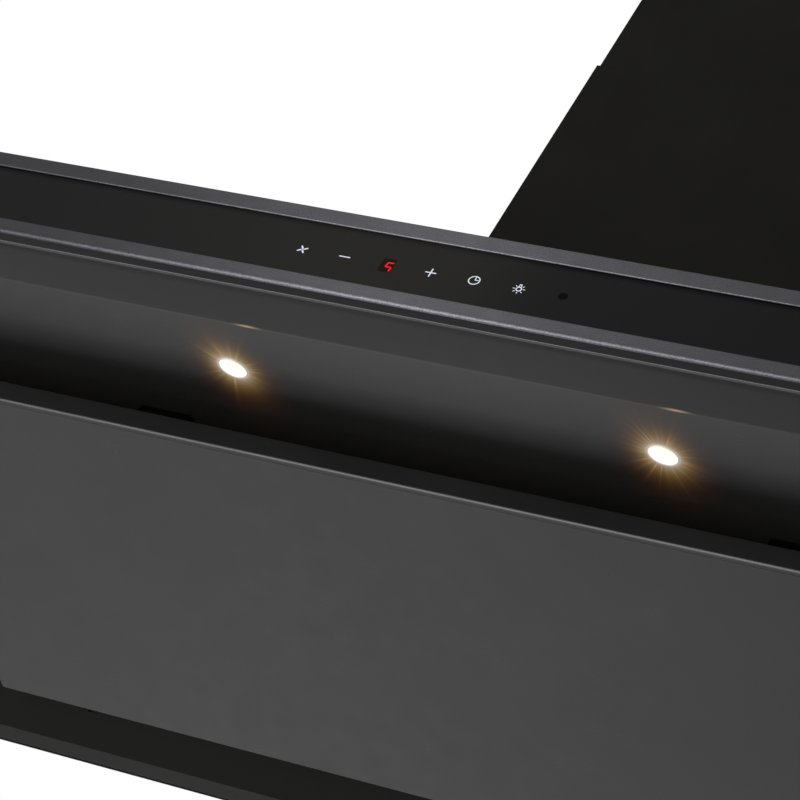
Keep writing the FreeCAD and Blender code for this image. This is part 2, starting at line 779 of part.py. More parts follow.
def suction_panel():
    """Flat tray with an upturned edge all round; air passes between its edge and the underside."""
    body = new_body("suction_panel")
    foot = sketch_on(body, "panel_foot", "XY_Plane", "panel_low")
    rectangle(foot, (f"-{PANEL_SIDE}", PANEL_SIDE), (PANEL_FRONT, PANEL_REAR))
    blank = pad(body, foot, "panel_blank", "panel_flange_height")
    corners = [{"x": f"{sign}{PANEL_SIDE}", "y": y} for sign in ("-", "") for y in (PANEL_FRONT,
                                                                                    PANEL_REAR)]
    soft = rounded(body, "panel_corners", blank, corners, "panel_bend_radius")
    rounded(body, "panel_fold", soft, [{"z": "panel_low"}], "panel_bend_radius")
    tray = sketch_on(body, "panel_tray", "XY_Plane", PANEL_TOP)
    rectangle(tray, (f"-{PANEL_SIDE} + sheet", f"{PANEL_SIDE} - sheet"),
              (f"{PANEL_FRONT} + sheet", f"{PANEL_REAR} - sheet"))
    pocket(body, tray, "panel_tray_cut", "panel_flange_height - sheet")
    keep(body, "suction_panel")


def panel_ribs():
    """Two folded stiffening channels on the tray, one behind each long edge."""
    ribs = []
    rib_side = f"({PANEL_SIDE} - rib_end_inset)"
    edges = {
        "front": (f"{PANEL_FRONT} + sheet + rib_edge_gap",
                  f"{PANEL_FRONT} + sheet + rib_edge_gap + rib_width"),
        "rear": (f"{PANEL_REAR} - sheet - rib_edge_gap - rib_width",
                 f"{PANEL_REAR} - sheet - rib_edge_gap"),
    }
    for edge, (low, high) in edges.items():
        bar = block(f"rib_{edge}_bar", (f"-{rib_side}", rib_side), (low, high), (PANEL_FLOOR, RIB_TOP))
        channel = block(f"rib_{edge}_channel", (f"-{rib_side} - sheet", f"{rib_side} + sheet"),
                        (f"{low} + sheet", f"{high} - sheet"),
                        (f"{PANEL_FLOOR} - sheet", f"{RIB_TOP} - sheet"))
        ribs.append(cut(f"rib_{edge}", bar, [channel]))
    keep(group("panel_stiffeners", ribs), "panel_stiffeners")


HINGE_Y = "(-hinge_axis_setback)"
PIN_BORE = "(hinge_pin_radius + pin_clearance)"


def slope_over(y):
    """Height of the rear slope's lower face at a place along Y."""
    return f"(({REAR_FOLD} - ({y})) * {DECK} / rear_slope_run)"


def panel_hinge():
    """Two hinges at the wall side: an ear on the panel between two lugs under the rear slope."""
    ears, brackets, pins = [], [], []
    for side, sign in (("left", "-1"), ("right", "1")):
        x = f"({sign} * hinge_spread / 2)"
        ear_span = (f"{x} - ear_thickness / 2", f"{x} + ear_thickness / 2")
        base = block(f"ear_base_{side}", (f"{x} - ear_base_width / 2", f"{x} + ear_base_width / 2"),
                     (PANEL_REAR, f"{PANEL_REAR} + lug_thickness"),
                     ("panel_low + panel_bend_radius", PANEL_TOP))
        arm = block(f"ear_arm_{side}", ear_span, (PANEL_REAR, HINGE_Y),
                    ("hinge_axis_height - knuckle_radius", "hinge_axis_height + knuckle_radius"))
        knuckle = rod(f"ear_knuckle_{side}", "x", (HINGE_Y, "hinge_axis_height"), ear_span,
                      "knuckle_radius")
        bore = rod(f"ear_bore_{side}", "x", (HINGE_Y, "hinge_axis_height"),
                   (f"{x} - ear_thickness", f"{x} + ear_thickness"), PIN_BORE)
        ears.append(cut(f"ear_{side}", joined(f"ear_solid_{side}", [base, arm, knuckle]), [bore]))

        lug_in = "(ear_thickness / 2 + lug_gap)"
        lug_out = "(ear_thickness / 2 + lug_gap + lug_thickness)"
        brackets.append(hinge_bracket(side, x, lug_in, lug_out))
        pins.append(rod(f"pin_{side}", "x", (HINGE_Y, "hinge_axis_height"),
                        (f"{x} - {lug_out}", f"{x} + {lug_out}"), "hinge_pin_radius"))
    keep(group("panel_hinge_ears", ears), "panel_hinge_ears")
    keep(group("hinge_brackets", brackets), "hinge_brackets")
    keep(group("hinge_pins", pins), "hinge_pins")


def hinge_bracket(side, x, lug_in, lug_out):
    """A plate under the rear slope with two lugs that hold the pin."""
    front = f"({HINGE_Y} - bracket_length / 2)"
    back = f"({HINGE_Y} + bracket_length / 2)"
    body = new_body(f"bracket_plate_{side}")
    section = sketch_on(body, f"bracket_plate_{side}_profile", "YZ_Plane", x)
    outline(section, [(front, slope_over(front)), (back, slope_over(back)),
                      (back, f"{slope_over(back)} - lug_thickness"),
                      (front, f"{slope_over(front)} - lug_thickness")])
    pad(body, section, f"bracket_plate_{side}_run", f"2 * {lug_out}", centred=True)
    pieces = [body]
    for hand in ("-", "+"):
        inner = f"{x} {hand} {lug_in}"
        outer = f"{x} {hand} {lug_out}"
        span = (outer, inner) if hand == "-" else (inner, outer)
        lug = new_body(f"bracket_lug_{side}_{'inner' if hand == '-' else 'outer'}")
        shape = sketch_on(lug, f"{lug.Name}_profile", "YZ_Plane", span[0])
        near = f"({HINGE_Y} - knuckle_radius)"
        far = f"({HINGE_Y} + knuckle_radius)"
        outline(shape, [(near, "hinge_axis_height"), (far, "hinge_axis_height"), (far, slope_over(far)),
                        (near, slope_over(near))])
        pad(lug, shape, f"{lug.Name}_run", "lug_thickness")
        eye = rod(f"{lug.Name}_eye", "x", (HINGE_Y, "hinge_axis_height"), span, "knuckle_radius")
        pieces += [lug, eye]
    bore = rod(f"bracket_bore_{side}", "x", (HINGE_Y, "hinge_axis_height"),
               (f"{x} - 2 * {lug_out}", f"{x} + 2 * {lug_out}"), PIN_BORE)
    return cut(f"bracket_{side}", joined(f"bracket_solid_{side}", pieces), [bore])


def panel_catches():
    """Magnets under the light plate and steel strikers on the front rib, with a small gap between."""
    middle = f"({PANEL_FRONT} + sheet + rib_edge_gap + rib_width / 2)"
    front = f"({middle} - catch_width / 2)"
    back = f"({middle} + catch_width / 2)"
    low = f"({RIB_TOP} + striker_thickness + catch_gap)"
    magnets, strikers = [], []
    for side, sign in (("left", "-1"), ("right", "1")):
        x = f"({sign} * catch_spread / 2)"
        magnet = new_body(f"magnet_{side}")
        section = sketch_on(magnet, f"magnet_{side}_profile", "YZ_Plane", x)
        outline(section, [(front, low), (back, low), (back, light_plate_over(back)),
                          (front, light_plate_over(front))])
        pad(magnet, section, f"magnet_{side}_run", "catch_length", centred=True)
        magnets.append(magnet)
        strikers.append(block(f"striker_{side}", (f"{x} - catch_length / 2", f"{x} + catch_length / 2"),
                              (front, back), (RIB_TOP, f"{RIB_TOP} + striker_thickness")))
    keep(group("catch_magnets", magnets), "catch_magnets")
    keep(group("catch_strikers", strikers), "catch_strikers")


def light_plate_over(y):
    """Height of the light plate's lower face at a place along Y."""
    return f"((({y}) - {FRONT_FOLD}) * tan(light_plate_slope))"


# ---- grease filters

FILTER_LOW = f"({DECK} - filter_drop)"
FILTER_HIGH = f"({FILTER_LOW} + filter_thickness)"
FILTER_FRONT = f"({HOLE_FRONT} + filter_end_gap)"
FILTER_REAR = f"({HOLE_REAR} - filter_end_gap)"
FILTER_WIDTH = f"((2 * {HOLE_SIDE} - 4 * filter_gap) / 3)"
FILTER_PITCH = f"({FILTER_WIDTH} + filter_gap)"
MEMBER_BACK = f"({FILTER_FRONT} + filter_front_member)"
CAVITY_BACK = f"({FILTER_FRONT} + filter_skin + latch_cavity_length)"
SHELF = f"({DECK} + sheet + seat_gap)"
PLATE_LOW = f"({SHELF} + latch_gap)"
PLATE_HIGH = f"({PLATE_LOW} + latch_thickness)"
PLATE_FRONT = f"({FILTER_FRONT} + filter_skin + latch_gap)"
PLATE_BACK = f"({PLATE_FRONT} + latch_plate_length)"
STEM_FRONT = f"({PLATE_FRONT} + 2 * filter_skin)"
STEM_BACK = f"({STEM_FRONT} + latch_stem_length)"


def grease_filter(place, step):
    """Folded aluminium frame round a mesh pack, rear tabs over the deck, a sprung latch in front."""
    x = f"({step} * {FILTER_PITCH})"
    left = f"({x} - {FILTER_WIDTH} / 2)"
    right = f"({x} + {FILTER_WIDTH} / 2)"
    outside = block(f"filter_{place}_outside", (left, right), (FILTER_FRONT, FILTER_REAR),
                    (FILTER_LOW, FILTER_HIGH))
    tabs = []
    for hand in ("-", "+"):
        middle = f"({x} {hand} tab_spread / 2)"
        tabs.append(block(f"filter_{place}_tab_{len(tabs)}",
                          (f"{middle} - tab_width / 2", f"{middle} + tab_width / 2"),
                          (f"{FILTER_REAR} - filter_skin", f"{FILTER_REAR} + tab_length"),
                          (SHELF, f"{SHELF} + tab_thickness")))
    window = block(f"filter_{place}_window", (f"{left} + filter_side_member",
                                              f"{right} - filter_side_member"),
                   (MEMBER_BACK, f"{FILTER_REAR} - filter_side_member"),
                   (f"{FILTER_LOW} - filter_skin", f"{FILTER_HIGH} + filter_skin"))
    groove_side = "(filter_side_member - mesh_groove)"
    groove = block(f"filter_{place}_groove", (f"{left} + {groove_side}", f"{right} - {groove_side}"),
                   (f"{MEMBER_BACK} - filter_skin", f"{FILTER_REAR} - {groove_side}"),
                   (f"{FILTER_LOW} + filter_skin", f"{FILTER_HIGH} - filter_skin"))
    half_cavity = "(latch_width / 2 + latch_gap)"
    cavity = block(f"filter_{place}_cavity", (f"{x} - {half_cavity}", f"{x} + {half_cavity}"),
                   (f"{FILTER_FRONT} + filter_skin", CAVITY_BACK), (SHELF, f"{FILTER_HIGH} + filter_skin"))
    half_bolt = "(latch_bolt_width / 2 + latch_gap)"
    notch = block(f"filter_{place}_notch", (f"{x} - {half_bolt}", f"{x} + {half_bolt}"),
                  (f"{FILTER_FRONT} - filter_skin", f"{FILTER_FRONT} + 2 * filter_skin"),
                  (SHELF, f"{FILTER_HIGH} + filter_skin"))
    half_stem = "(latch_stem_width / 2 + latch_gap)"
    slot = block(f"filter_{place}_slot", (f"{x} - {half_stem}", f"{x} + {half_stem}"),
                 (f"{STEM_FRONT} - latch_gap", f"{STEM_BACK} + latch_travel + latch_gap"),
                 (f"{FILTER_LOW} - filter_skin", f"{SHELF} + filter_skin"))
    solid = joined(f"filter_{place}_solid", [outside] + tabs)
    keep(cut(f"grease_filter_frame_{place}", solid, [window, groove, cavity, notch, slot]),
         f"grease_filter_frame_{place}")

    filter_mesh(place, f"({left} + {groove_side} + mesh_gap)", f"({right} - {groove_side} - mesh_gap)",
                f"({FILTER_REAR} - {groove_side} - mesh_gap)")
    filter_latch(place, x)
    latch_spring(place, x)


def filter_mesh(place, left, right, rear):
    """Pleated mesh sheet, one pleat repeated across; its edges lie in the frame's groove."""
    front = f"({MEMBER_BACK} - filter_skin + mesh_gap)"
    low = f"({FILTER_LOW} + filter_skin + mesh_gap)"
    crest = f"({FILTER_HIGH} - filter_skin - mesh_gap)"
    pleat = f"(({right} - {left}) / mesh_pleats)"
    body = new_body(f"grease_filter_mesh_{place}")
    section = sketch_on(body, f"mesh_{place}_pleat", "XZ_Plane", f"-{rear}")
    outline(section, [
        (left, low),
        (f"{left} + {pleat} / 2", f"{crest} - mesh_sheet"),
        (f"{left} + {pleat}", low),
        (f"{left} + {pleat}", f"{low} + mesh_sheet"),
        (f"{left} + {pleat} / 2", crest),
        (left, f"{low} + mesh_sheet"),
    ])
    pad(body, section, f"mesh_{place}_run", f"{rear} - {front}")
    repeated(body, "LinearPattern", "X_Axis", "mesh_pleats", f"{pleat} * (mesh_pleats - 1)")
    keep(body, f"grease_filter_mesh_{place}")


def filter_latch(place, x):
    """Slider with a bolt over the deck's front lip and a finger grip below the filter."""
    plate = block(f"latch_{place}_plate", (f"{x} - latch_width / 2", f"{x} + latch_width / 2"),
                  (PLATE_FRONT, PLATE_BACK), (PLATE_LOW, PLATE_HIGH))
    bolt = block(f"latch_{place}_bolt", (f"{x} - latch_bolt_width / 2", f"{x} + latch_bolt_width / 2"),
                 (f"{FILTER_FRONT} - latch_bolt_reach", PLATE_BACK), (PLATE_LOW, PLATE_HIGH))
    stem = block(f"latch_{place}_stem", (f"{x} - latch_stem_width / 2", f"{x} + latch_stem_width / 2"),
                 (STEM_FRONT, STEM_BACK), (f"{FILTER_LOW} - 2 * latch_gap", PLATE_HIGH))
    grip_middle = f"(({STEM_FRONT} + {STEM_BACK}) / 2)"
    grip = block(f"latch_{place}_grip", (f"{x} - latch_grip_width / 2", f"{x} + latch_grip_width / 2"),
                 (f"{grip_middle} - latch_grip_length / 2", f"{grip_middle} + latch_grip_length / 2"),
                 (f"{FILTER_LOW} - latch_gap - latch_grip_height", f"{FILTER_LOW} - latch_gap"))
    keep(joined(f"filter_latch_{place}", [plate, bolt, stem, grip]), f"filter_latch_{place}")


def latch_spring(place, x):
    """Small coil spring between the slider and the back of its cavity."""
    wire = number("latch_spring_wire")
    radius = number("latch_spring_radius")
    start = number(PLATE_BACK) + wire
    length = number(CAVITY_BACK) - wire - start
    helix = Part.makeHelix(length / number("latch_spring_turns"), length, radius)
    profile = Part.Wire([Part.Circle(FreeCAD.Vector(radius, 0, 0), FreeCAD.Vector(0, 1, 0),
                                     wire).toShape()])
    coil = Part.Wire(helix.Edges).makePipeShell([profile], True, True)
    spring = document.addObject("Part::Feature", f"latch_spring_{place}")
    spring.Shape = coil
    middle = number(f"({PLATE_LOW} + {PLATE_HIGH}) / 2")
    spring.Placement = FreeCAD.Placement(FreeCAD.Vector(number(x), start, middle), TURNS["y"])
    keep(spring, f"latch_spring_{place}")


# ---- blower

def blower_box():
    """Steel box over the canopy's well that carries the fan; the wall plate closes its back."""
    half = "(box_width / 2)"
    back = "(-wall_plate_thickness)"
    outside = block("box_outside", (f"-{half}", half), (BOX_FRONT, back), (CANOPY_TOP, BOX_TOP))
    inside = block("box_inside", (f"-{half} + sheet", f"{half} - sheet"),
                   (f"{BOX_FRONT} + sheet", f"{back} + sheet"),
                   (f"{CANOPY_TOP} + sheet", f"{BOX_TOP} - sheet"))
    well = block("box_well", (f"-{half} + box_flange", f"{half} - box_flange"),
                 (f"{BOX_FRONT} + box_flange", f"{back} + sheet"),
                 (f"{CANOPY_TOP} - sheet", f"{CANOPY_TOP} + 2 * sheet"))
    outlet = rod("box_outlet", "z", ("0", BOX_MIDDLE), (f"{BOX_TOP} - 2 * sheet", f"{BOX_TOP} + sheet"),
                 "outlet_hole_radius")
    stud = rod("box_stud_hole", "z", ("-capacitor_offset", BOX_MIDDLE),
               (f"{BOX_TOP} - 2 * sheet", f"{BOX_TOP} + sheet"),
               "capacitor_stud_radius + screw_hole_gap")
    tools = [inside, well, outlet, stud]
    for name, x, y in canopy_screw_places():
        tools.append(rod(f"box_hole_{name}", "z", (x, y),
                         (f"{CANOPY_TOP} - sheet", f"{CANOPY_TOP} + 2 * sheet"),
                         "screw_radius + screw_hole_gap"))
    keep(cut("blower_box", outside, tools), "blower_box")


def wall_plate():
    """Plate against the wall with the four holes that carry the hood."""
    half = "(box_width / 2)"
    plate = block("wall_plate_blank", (f"-{half}", half), ("-wall_plate_thickness", "0"),
                  (CANOPY_TOP, BOX_TOP))
    holes = []
    for x in ("-wall_hole_spacing_across / 2", "wall_hole_spacing_across / 2"):
        for z in (f"{CANOPY_TOP} + wall_hole_inset_end", f"{BOX_TOP} - wall_hole_inset_end"):
            holes.append(rod(f"wall_hole_{len(holes)}", "y", (x, z),
                             ("-2 * wall_plate_thickness", "wall_plate_thickness"), "wall_hole_radius"))
    keep(cut("wall_plate", plate, holes), "wall_plate")


def scroll_casing(side, sign):
    """One half of the fan casing: round chamber, outlet duct to the box's top, inlet in its end wall."""
    joint = f"({sign} * casing_joint_gap / 2)"
    end = f"({sign} * casing_width / 2)"
    inner_end = f"({sign} * (casing_width / 2 - casing_wall))"
    past_joint = f"(-{sign} * casing_wall)"
    past_end = f"({sign} * (casing_width / 2 + casing_wall))"

    def span(near, far):
        return (near, far) if sign == "1" else (far, near)

    front = f"({BOX_MIDDLE} - duct_depth / 2)"
    back = f"({BOX_MIDDLE} + duct_depth / 2)"
    top = f"({BOX_TOP} - sheet)"
    drum = rod(f"casing_{side}_drum", "x", FAN_AXIS, span(joint, end), "casing_radius")
    duct = block(f"casing_{side}_duct", span(joint, end), (front, back), (FAN_Z, top))
    room = rod(f"casing_{side}_room", "x", FAN_AXIS, span(past_joint, inner_end),
               "casing_radius - casing_wall")
    shaft = block(f"casing_{side}_shaft", span(past_joint, inner_end),
                  (f"{front} + casing_wall", f"{back} - casing_wall"),
                  (FAN_Z, f"{top} + casing_wall"))
    inlet = rod(f"casing_{side}_inlet", "x", FAN_AXIS, span(inner_end, past_end), "inlet_radius")
    solid = joined(f"casing_{side}_solid", [drum, duct])
    keep(cut(f"scroll_casing_{side}", solid, [room, shaft, inlet]), f"scroll_casing_{side}")


def impeller():
    """Double-inlet fan wheel: centre plate, hub, curved-edge blades and two end rings in one moulding."""
    hub_low = "(-shaft_stub)"
    hub_high = "(-shaft_stub + impeller_hub_length)"
    half = "(impeller_width / 2)"
    inner = "(impeller_radius - impeller_ring_depth)"
    pieces = [
        rod("wheel_plate", "x", FAN_AXIS, ("-impeller_wall", "0"), "impeller_radius"),
        rod("wheel_hub", "x", FAN_AXIS, (hub_low, hub_high), "impeller_hub_radius"),
    ]
    for side, low, high in (("left", f"-{half}", f"-{half} + impeller_wall"),
                            ("right", f"{half} - impeller_wall", half)):
        outside = rod(f"wheel_ring_{side}_outside", "x", FAN_AXIS, (low, high), "impeller_radius")
        inside = rod(f"wheel_ring_{side}_inside", "x", FAN_AXIS,
                     (f"{low} - cut_margin", f"{high} + cut_margin"), inner)
        pieces.append(cut(f"wheel_ring_{side}", outside, [inside]))
    pieces.append(wheel_blades(half, inner))
    bore = rod("wheel_bore", "x", FAN_AXIS, (f"{hub_low} - cut_margin", f"{hub_high} + cut_margin"),
               "shaft_radius + pin_clearance")
    keep(cut("impeller", joined("wheel_solid", pieces), [bore]), "impeller")


def wheel_blades(half, inner):
    """The ring of blades: one flat blade, set at a slant, repeated round the fan's axis."""
    body = new_body("wheel_blades")
    section = sketch_on(body, "blade_profile", "YZ_Plane")
    near = f"({inner} + blade_inset)"
    far = "(impeller_radius - 2 * blade_inset)"
    outline(section, [("0", near), ("blade_thickness", near), ("blade_lean + blade_thickness", far),
                      ("blade_lean", far)])
    pad(body, section, "blade", f"2 * {half} - impeller_wall", centred=True)
    repeated(body, "PolarPattern", "X_Axis", "blade_count", "360")
    bind(body, "Placement.Base.y", FAN_Y)
    bind(body, "Placement.Base.z", FAN_Z)
    document.recompute()
    return body


def motor():
    """Motor inside the right half of the wheel, held by a three-armed bracket across the inlet."""
    end = "(casing_width / 2)"
    body = rod("motor_body_blank", "x", FAN_AXIS, ("motor_start", end), "motor_radius")
    seat_length = "(bearing_length + pin_clearance)"
    seat = rod("motor_body_seat", "x", FAN_AXIS, ("motor_start - cut_margin", f"{end} - motor_wall"),
               "bearing_radius")
    keep(cut("motor_body", body, [seat]), "motor_body")

    bushes = []
    starts = ("motor_start", f"{end} - motor_wall - {seat_length}")
    for index, start in enumerate(starts):
        bush = rod(f"bush_{index}", "x", FAN_AXIS, (start, f"{start} + bearing_length"),
                   "bearing_radius - pin_clearance")
        hole = rod(f"bush_{index}_hole", "x", FAN_AXIS,
                   (f"{start} - cut_margin", f"{start} + bearing_length + cut_margin"),
                   "shaft_radius + pin_clearance")
        bushes.append(cut(f"bush_{index}_ring", bush, [hole]))
    keep(group("motor_bearings", bushes), "motor_bearings")

    shaft = rod("motor_shaft", "x", FAN_AXIS, ("-shaft_stub", f"{end} - motor_wall - seat_gap"),
                "shaft_radius")
    keep(shaft, "motor_shaft")

    outer = end
    span = (outer, f"{outer} + motor_bracket_thickness")
    cut_span = (f"{outer} - cut_margin", f"{outer} + motor_bracket_thickness + cut_margin")
    rim = rod("motor_rim_outside", "x", FAN_AXIS, span, "inlet_radius + motor_bracket_overlap")
    opening = rod("motor_rim_inside", "x", FAN_AXIS, cut_span, "inlet_radius - motor_rim_inset")
    pieces = [cut("motor_rim", rim, [opening]), rod("motor_boss", "x", FAN_AXIS, span, "motor_radius / 2")]
    for index, angle in enumerate((90, 210, 330)):
        arm = document.addObject("Part::Box", f"motor_arm_{index}")
        bind(arm, "Length", "inlet_radius + motor_bracket_overlap / 2")
        bind(arm, "Width", "motor_arm_width")
        bind(arm, "Height", "motor_bracket_thickness")
        turn = FreeCAD.Rotation(FreeCAD.Vector(1, 0, 0), angle) * FreeCAD.Rotation(
            FreeCAD.Vector(0, 1, 0), FreeCAD.Vector(0, 0, 1), FreeCAD.Vector(1, 0, 0), "XYZ")
        sideways = turn.multVec(FreeCAD.Vector(0, 1, 0))
        arm.Placement = FreeCAD.Placement(FreeCAD.Vector(), turn)
        bind(arm, "Placement.Base.x", outer)
        bind(arm, "Placement.Base.y", f"{FAN_Y} - {sideways.y:.6f} * motor_arm_width / 2")
        bind(arm, "Placement.Base.z", f"{FAN_Z} - {sideways.z:.6f} * motor_arm_width / 2")
        pieces.append(arm)
    keep(joined("motor_bracket", pieces), "motor_bracket")


def outlet_collar():
    """Round duct collar on the box, with bores for the pin of the two check flaps."""
    top = f"({BOX_TOP} + outlet_height)"
    tube = rod("collar_tube", "z", ("0", BOX_MIDDLE), (BOX_TOP, top), "outlet_radius")
    flange = rod("collar_flange", "z", ("0", BOX_MIDDLE), (BOX_TOP, f"{BOX_TOP} + outlet_flange_thickness"),
                 "outlet_flange_radius")
    bore = rod("collar_bore", "z", ("0", BOX_MIDDLE), (f"{BOX_TOP} - cut_margin", f"{top} + cut_margin"),
               "outlet_radius - outlet_wall")
    pin_hole = rod("collar_pin_hole", "x", (BOX_MIDDLE, DAMPER_Z),
                   ("-2 * outlet_radius", "2 * outlet_radius"),
                   "damper_pin_radius + pin_clearance")
    keep(cut("outlet_collar", joined("collar_solid", [tube, flange]), [bore, pin_hole]), "outlet_collar")
    reach = "(outlet_radius - outlet_wall / 4)"
    keep(rod("damper_pin", "x", (BOX_MIDDLE, DAMPER_Z), (f"-{reach}", reach), "damper_pin_radius"),
         "damper_pin")


def damper_flap(place, sign):
    """Half-round check flap with two knuckles on the shared pin; the other flap's lie between them."""
    radius = "(outlet_radius - outlet_wall - damper_gap)"
    disc = rod(f"flap_{place}_disc", "z", ("0", BOX_MIDDLE), (f"{DAMPER_Z} - damper_thickness / 2",
               f"{DAMPER_Z} + damper_thickness / 2"), radius)
    near = "(damper_knuckle_radius + 2 * seat_gap)"
    if sign == "-":
        half_span = (f"{BOX_MIDDLE} - outlet_radius", f"{BOX_MIDDLE} - {near}")
        arm_span = (f"{BOX_MIDDLE} - 2 * {near}", BOX_MIDDLE)
    else:
        half_span = (f"{BOX_MIDDLE} + {near}", f"{BOX_MIDDLE} + outlet_radius")
        arm_span = (BOX_MIDDLE, f"{BOX_MIDDLE} + 2 * {near}")
    half = block(f"flap_{place}_half", ("-outlet_radius", "outlet_radius"), half_span,
                 (f"{DAMPER_Z} - 2 * damper_thickness", f"{DAMPER_Z} + 2 * damper_thickness"))
    pieces = [shared(f"flap_{place}_leaf", disc, half)]
    middles = ("-damper_knuckle_far", "damper_knuckle_near")
    if sign == "+":
        middles = ("-damper_knuckle_near", "damper_knuckle_far")
    for index, middle in enumerate(middles):
        span = (f"{middle} - damper_knuckle_length / 2", f"{middle} + damper_knuckle_length / 2")
        pieces.append(rod(f"flap_{place}_knuckle_{index}", "x", (BOX_MIDDLE, DAMPER_Z), span,
                          "damper_knuckle_radius"))
        pieces.append(block(f"flap_{place}_arm_{index}", span, arm_span,
                            (f"{DAMPER_Z} - damper_thickness / 2", f"{DAMPER_Z} + damper_thickness / 2")))
    bore = rod(f"flap_{place}_bore", "x", (BOX_MIDDLE, DAMPER_Z),
               ("-2 * outlet_radius", "2 * outlet_radius"),
               "damper_pin_radius + pin_clearance")
    keep(cut(f"damper_flap_{place}", joined(f"flap_{place}_solid", pieces), [bore]), f"damper_flap_{place}")


def capacitor():
    """Motor capacitor standing on the box by its threaded stud, with two terminals on top."""
    centre = ("-capacitor_offset", BOX_MIDDLE)
    top = f"({BOX_TOP} + capacitor_height)"
    can = rod("capacitor_can", "z", centre, (BOX_TOP, top), "capacitor_radius")
    stud = rod("capacitor_stud", "z", centre, (f"{BOX_TOP} - capacitor_stud_length", BOX_TOP),
               "capacitor_stud_radius")
    pieces = [can, stud]
    for index, hand in enumerate(("-", "+")):
        y = f"({BOX_MIDDLE} {hand} capacitor_radius / 2)"
        pieces.append(block(f"capacitor_blade_{index}",
                            ("-capacitor_offset - terminal_width / 2",
                             "-capacitor_offset + terminal_width / 2"),
                            (f"{y} - terminal_thickness / 2", f"{y} + terminal_thickness / 2"),
                            (top, f"{top} + terminal_height")))
    keep(joined("capacitor", pieces), "capacitor")


def electronics():
    """Plastic cover over the power board, beside the collar, with the mains lead's gland on top."""
    right = "(box_width / 2 - electronics_inset)"
    left = f"({right} - electronics_width)"
    front = f"({BOX_MIDDLE} - electronics_depth / 2)"
    back = f"({BOX_MIDDLE} + electronics_depth / 2)"
    top = f"({BOX_TOP} + electronics_height)"
    outside = block("electronics_outside", (left, right), (front, back), (BOX_TOP, top))
    inside = block("electronics_inside", (f"{left} + electronics_wall", f"{right} - electronics_wall"),
                   (f"{front} + electronics_wall", f"{back} - electronics_wall"),
                   (f"{BOX_TOP} - cut_margin", f"{top} - electronics_wall"))
    gland_x = f"(({left} + {right}) / 2)"
    gland_y = "(-gland_setback)"
    hole = rod("electronics_gland_hole", "z", (gland_x, gland_y),
               (f"{top} - 2 * electronics_wall", f"{top} + cut_margin"),
               "gland_thread_radius + screw_hole_gap")
    keep(cut("electronics_box", outside, [inside, hole]), "electronics_box")

    head = rod("gland_head", "z", (gland_x, gland_y), (top, f"{top} + gland_height"), "gland_body_radius")
    thread = rod("gland_thread", "z", (gland_x, gland_y), (f"{top} - gland_thread_length", top),
                 "gland_thread_radius")
    bore = rod("gland_bore", "z", (gland_x, gland_y),
               (f"{top} - 2 * gland_thread_length", f"{top} + 2 * gland_height"), "gland_bore_radius")
    keep(cut("cable_gland", joined("gland_solid", [head, thread]), [bore]), "cable_gland")


# ---- chimney

def chimney_cover(name, side, front, rear, low, height):
    """A folded cover: front and two sides, with a return along the wall at each side."""
    inner = f"({side} - chimney_sheet)"
    return_in = f"({side} - chimney_return)"
    body = new_body(f"{name}_fold")
    section = sketch_on(body, f"{name}_section", "XY_Plane", low)
    right = [
        (side, front), (side, rear), (return_in, rear), (return_in, f"({rear} - chimney_sheet)"),
        (inner, f"({rear} - chimney_sheet)"), (inner, f"({front} + chimney_sheet)"),
    ]
    left = [(f"(-{x})", y) for x, y in right]
    outline(section, right + left[::-1])
    run = pad(body, section, f"{name}_run", height)
    corners = [{"x": f"{sign}{side}", "y": front} for sign in ("-", "")]
    rounded(body, f"{name}_corners", run, corners, "chimney_sheet")
    return body


def lower_chimney():
    cover = chimney_cover("lower_chimney", CHIMNEY_SIDE, "(-chimney_depth)", "0", CANOPY_TOP,
                          "lower_chimney_height")
    hole = rod("lower_chimney_holes", "x", (CHIMNEY_SCREW_Y, CHIMNEY_SCREW_Z),
               (f"-2 * {CHIMNEY_SIDE}", f"2 * {CHIMNEY_SIDE}"),
               "screw_radius + screw_hole_gap")
    keep(cut("lower_chimney", cover, [hole]), "lower_chimney")


def upper_chimney():
    cover = chimney_cover("upper_chimney", UPPER_SIDE, UPPER_FRONT, UPPER_REAR, "upper_chimney_low",
                          "upper_chimney_height")
    across = (f"-2 * {UPPER_SIDE}", f"2 * {UPPER_SIDE}")
    tools = [rod("upper_chimney_holes", "x", (UPPER_SCREW_Y, UPPER_SCREW_Z), across,
                 "screw_radius + screw_hole_gap")]
    middle = "(-chimney_depth / 2)"
    for row in range(int(number("slot_count"))):
        top = f"({UPPER_TOP} - slot_top_inset - {row} * slot_pitch)"
        tools.append(block(f"upper_slot_{row}", across,
                           (f"{middle} - slot_length / 2", f"{middle} + slot_length / 2"),
                           (f"{top} - slot_height", top)))
    keep(cut("upper_chimney", cover, tools), "upper_chimney")


BRACKET_TOP = f"({UPPER_TOP} - upper_bracket_drop)"
BRACKET_LOW = f"({BRACKET_TOP} - upper_bracket_height)"
UPPER_SCREW_Y = "(-upper_bracket_reach + 3 * screw_head_radius)"
UPPER_SCREW_Z = f"({BRACKET_TOP} - upper_bracket_height / 2)"


